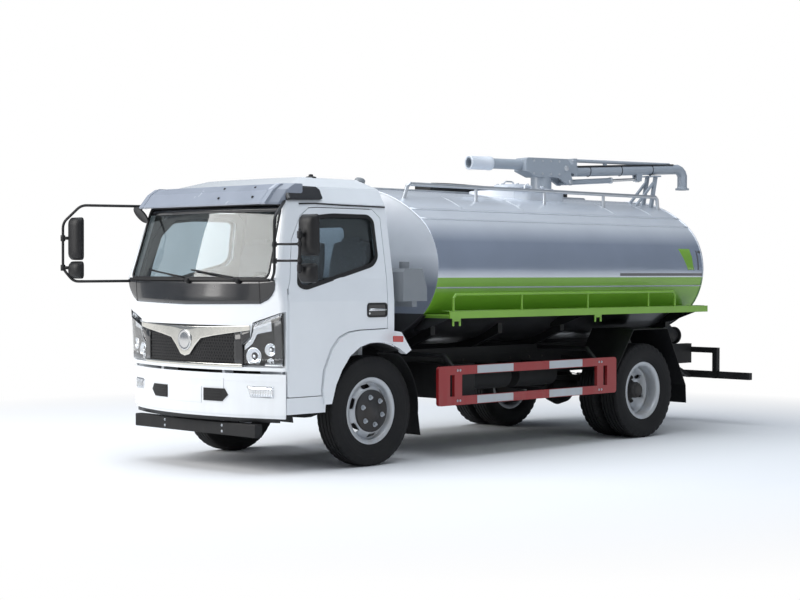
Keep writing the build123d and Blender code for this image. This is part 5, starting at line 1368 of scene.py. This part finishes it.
def mirror_frames():
    """Tube frames with clamps and rounded heads, in place of the plain ones."""
    post_x, post_y = 1.203, 1.386
    arm_x, arm_y = 1.222, 1.100
    arm = [at(0.935, 0.900, 2.292), at(arm_x, arm_y, 2.150), at(arm_x, arm_y, 1.700), at(1.125, 0.955, 1.628)]
    left = [(tube, smooth_path(arm, 0.06), 0.0125, 12)]
    for z in (1.925, 1.790):
        left += [(tube, [at(arm_x, arm_y, z), at(post_x, post_y, z)], 0.010, 10),
                 (clamp, at(arm_x, arm_y, z), 0.022, 0.021),
                 (lathe, [(0, -0.018), (0.018, -0.018), (0.018, 0.018), (0, 0.018)], at(post_x, post_y, z),
                  UP, 18)]
    left.append((tube, [at(post_x, post_y, 1.690), at(post_x, post_y, 2.050)], 0.012, 12))
    for z in (2.000, 1.730):
        left += [(tube, [at(post_x, post_y, z), at(1.150, 1.390, z)], 0.016, 12),
                 (clamp, at(post_x, post_y, z), 0.030, 0.022)]
    left += [(mirror_head, 1.077, 1.390, 2.000, 0.200, 0.340, 0.086),
             (mirror_head, 1.090, 1.390, 1.690, 0.190, 0.160, 0.080)]
    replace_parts(piece("mirror_frame_left", black_plastic, "cab", *left, smooth=True), "mirror_left")
    hoop_x, hoop_y = 1.500, -1.500
    hoop = [at(0.935, -0.900, 2.290), at(1.390, -1.370, 2.300), at(hoop_x, hoop_y, 2.140),
            at(hoop_x, hoop_y, 1.720),
            at(1.440, -1.420, 1.605), at(1.125, -0.955, 1.612)]
    right = [(tube, smooth_path(hoop, 0.05), 0.0125, 12)]
    for z in (2.000, 1.730):
        right += [(tube, [at(hoop_x, hoop_y, z), at(1.450, -1.450, z)], 0.015, 12),
                  (clamp, at(hoop_x, hoop_y, z), 0.028, 0.022)]
    right += [(mirror_head, 1.400, -1.400, 1.995, 0.180, 0.390, 0.080),
              (mirror_head, 1.400, -1.400, 1.710, 0.180, 0.160, 0.080)]
    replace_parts(piece("mirror_frame_right", black_plastic, "cab", *right, smooth=True), "mirror_right")
    bowl = [(0, -0.020), (0.050, -0.018), (0.086, -0.004), (0.092, 0.006), (0.088, 0.012), (0.082, 0.008),
            (0, 0.006)]
    stalk = [at(0.985, -0.850, 2.330), at(1.030, -0.900, 2.340), at(1.030, -0.955, 2.240)]
    piece("front_view_mirror", black_plastic, "cab",
          (lathe, bowl, at(1.020, -0.960, 2.215), (0.55, -0.10, -0.45), 36),
          (tube, smooth_path(stalk, 0.03), 0.008, 10), smooth=True)


def mirrors():
    """Looking glasses on the backs of the mirror heads, in thin frames."""
    for name, x, y, z_low, z_high, half in (("left_main", 1.076, 1.390, 1.845, 2.155, 0.080),
                                            ("left_low", 1.0895, 1.390, 1.622, 1.758, 0.075),
                                            ("right_main", 1.3995, -1.400, 1.815, 2.175, 0.070),
                                            ("right_low", 1.3995, -1.400, 1.642, 1.778, 0.070)):
        def face(u, v, lift):
            return at(x - lift, y + u, v)

        loop = rounded_loop([(-half, z_low), (half, z_low), (half, z_high), (-half, z_high)], 0.030, 6)
        piece(f"looking_glass_{name}", mirror_glass, "cab", (plate_on, face, loop, 0.0015, 0.003))
        piece(f"glass_frame_{name}", black_plastic, "cab",
              (ring_on, face, shrunk(loop, -0.006), 0.009, 0.004, 0.006))


def steering():
    """A bare hub pad."""
    low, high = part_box("steering_wheel")
    pad = [(0, 0.0), (0.060, 0.0), (0.066, 0.010), (0.050, 0.020), (0, 0.024)]
    centre = (low + high) / 2 + Vector((-0.012, 0, 0.012))
    piece("steering_hub_pad", black_plastic, "cab", (lathe, pad, centre, (-0.45, 0, 0.89), 28), smooth=True)


boom_fittings()
seats()
mirror_frames()
mirrors()
steering()


# ------------------------------------------------------------------ floor, light and camera
def seen_by(tree, *rays):
    """One for the kinds of ray that are named, such as those from the camera."""
    path = tree.put("ShaderNodeLightPath")
    seen = path.outputs[f"Is {rays[0]} Ray"]
    for ray in rays[1:]:
        seen = tree.math("MAXIMUM", seen, path.outputs[f"Is {ray} Ray"])
    return seen


def pale_floor():
    """A wide pale floor that turns into plain white far away, for the eye only."""
    mesh = bpy.data.meshes.new("floor")
    half, fade_from, fade_to = 60.0, 4.2, 7.8
    mesh.from_pydata([(-half, -half, 0), (half, -half, 0), (half, half, 0), (-half, half, 0)], [],
                     [(0, 1, 2, 3)])
    floor = placed("floor", mesh)
    material, tree, _ = new_material("pale floor")
    tree.graph.nodes.clear()
    matt = tree.put("ShaderNodeBsdfDiffuse", Color=(0.84, 0.85, 0.87, 1))
    plain = tree.put("ShaderNodeEmission", Color=(1, 1, 1, 1), Strength=1.0)
    distance = tree.put("ShaderNodeVectorMath", {"operation": "LENGTH"}, Vector=tree.place).outputs["Value"]
    share = tree.times(tree.ramp(distance, fade_from, fade_to),
                       seen_by(tree, "Camera", "Glossy", "Transmission"))
    tree.put("ShaderNodeOutputMaterial", Surface=tree.either(share, matt, plain))
    mesh.materials.append(material)


def white_surroundings():
    world = bpy.data.worlds.new("white surroundings")
    bpy.context.scene.world = world
    world.use_nodes = True
    tree = Shading(world.node_tree)
    tree.graph.nodes.clear()
    soft = tree.put("ShaderNodeBackground", Color=(0.80, 0.88, 1.0, 1), Strength=0.30)
    plain = tree.put("ShaderNodeBackground", Color=(1, 1, 1, 1), Strength=1.0)
    tree.put("ShaderNodeOutputWorld", Surface=tree.either(seen_by(tree, "Camera", "Transmission"), soft,
                                                          plain))


def soft_light(name, outline, place, towards, size, power, tint):
    lamp = bpy.data.lights.new(name, "AREA")
    lamp.shape = outline
    lamp.size, lamp.size_y = size
    lamp.energy = power
    lamp.color = tint
    made = placed(name, lamp)
    made.location = place
    made.rotation_euler = (Vector(towards) - Vector(place)).to_track_quat("-Z", "Y").to_euler()


def main_camera():
    yaw, pitch, roll = radians(224.44186), radians(-1.01743), radians(0.13692)
    forward = Vector((cos(yaw) * cos(pitch), sin(yaw) * cos(pitch), sin(pitch)))
    right = Vector((sin(yaw), -cos(yaw), 0))
    up = right.cross(forward)
    lens = bpy.data.cameras.new("camera")
    lens.lens, lens.sensor_width, lens.clip_end = 76.533, 36.0, 300.0
    camera = placed("camera", lens)
    turn = Matrix((right * cos(roll) + up * sin(roll), up * cos(roll) - right * sin(roll), -forward))
    camera.matrix_world = Matrix.Translation((12.5805, 11.5765, 1.7187)) @ turn.transposed().to_4x4()
    bpy.context.scene.camera = camera


pale_floor()
white_surroundings()
soft_light("sky light", "RECTANGLE", (1.0, 0.0, 10.0), (0.0, 0.0, 0.0), (14.0, 9.0), 1050, (0.90, 0.95, 1.0))
soft_light("front light", "ELLIPSE", (12.0, -4.0, 6.5), (2.5, 0.0, 1.2), (12.0, 8.0), 1250, (1.0, 0.98, 0.95))
soft_light("side light", "RECTANGLE", (0.5, 13.0, 4.5), (-0.5, 0.0, 1.3), (13.0, 4.0), 130, (0.92, 0.96, 1.0))
main_camera()
bpy.context.scene.view_settings.view_transform = "Standard"
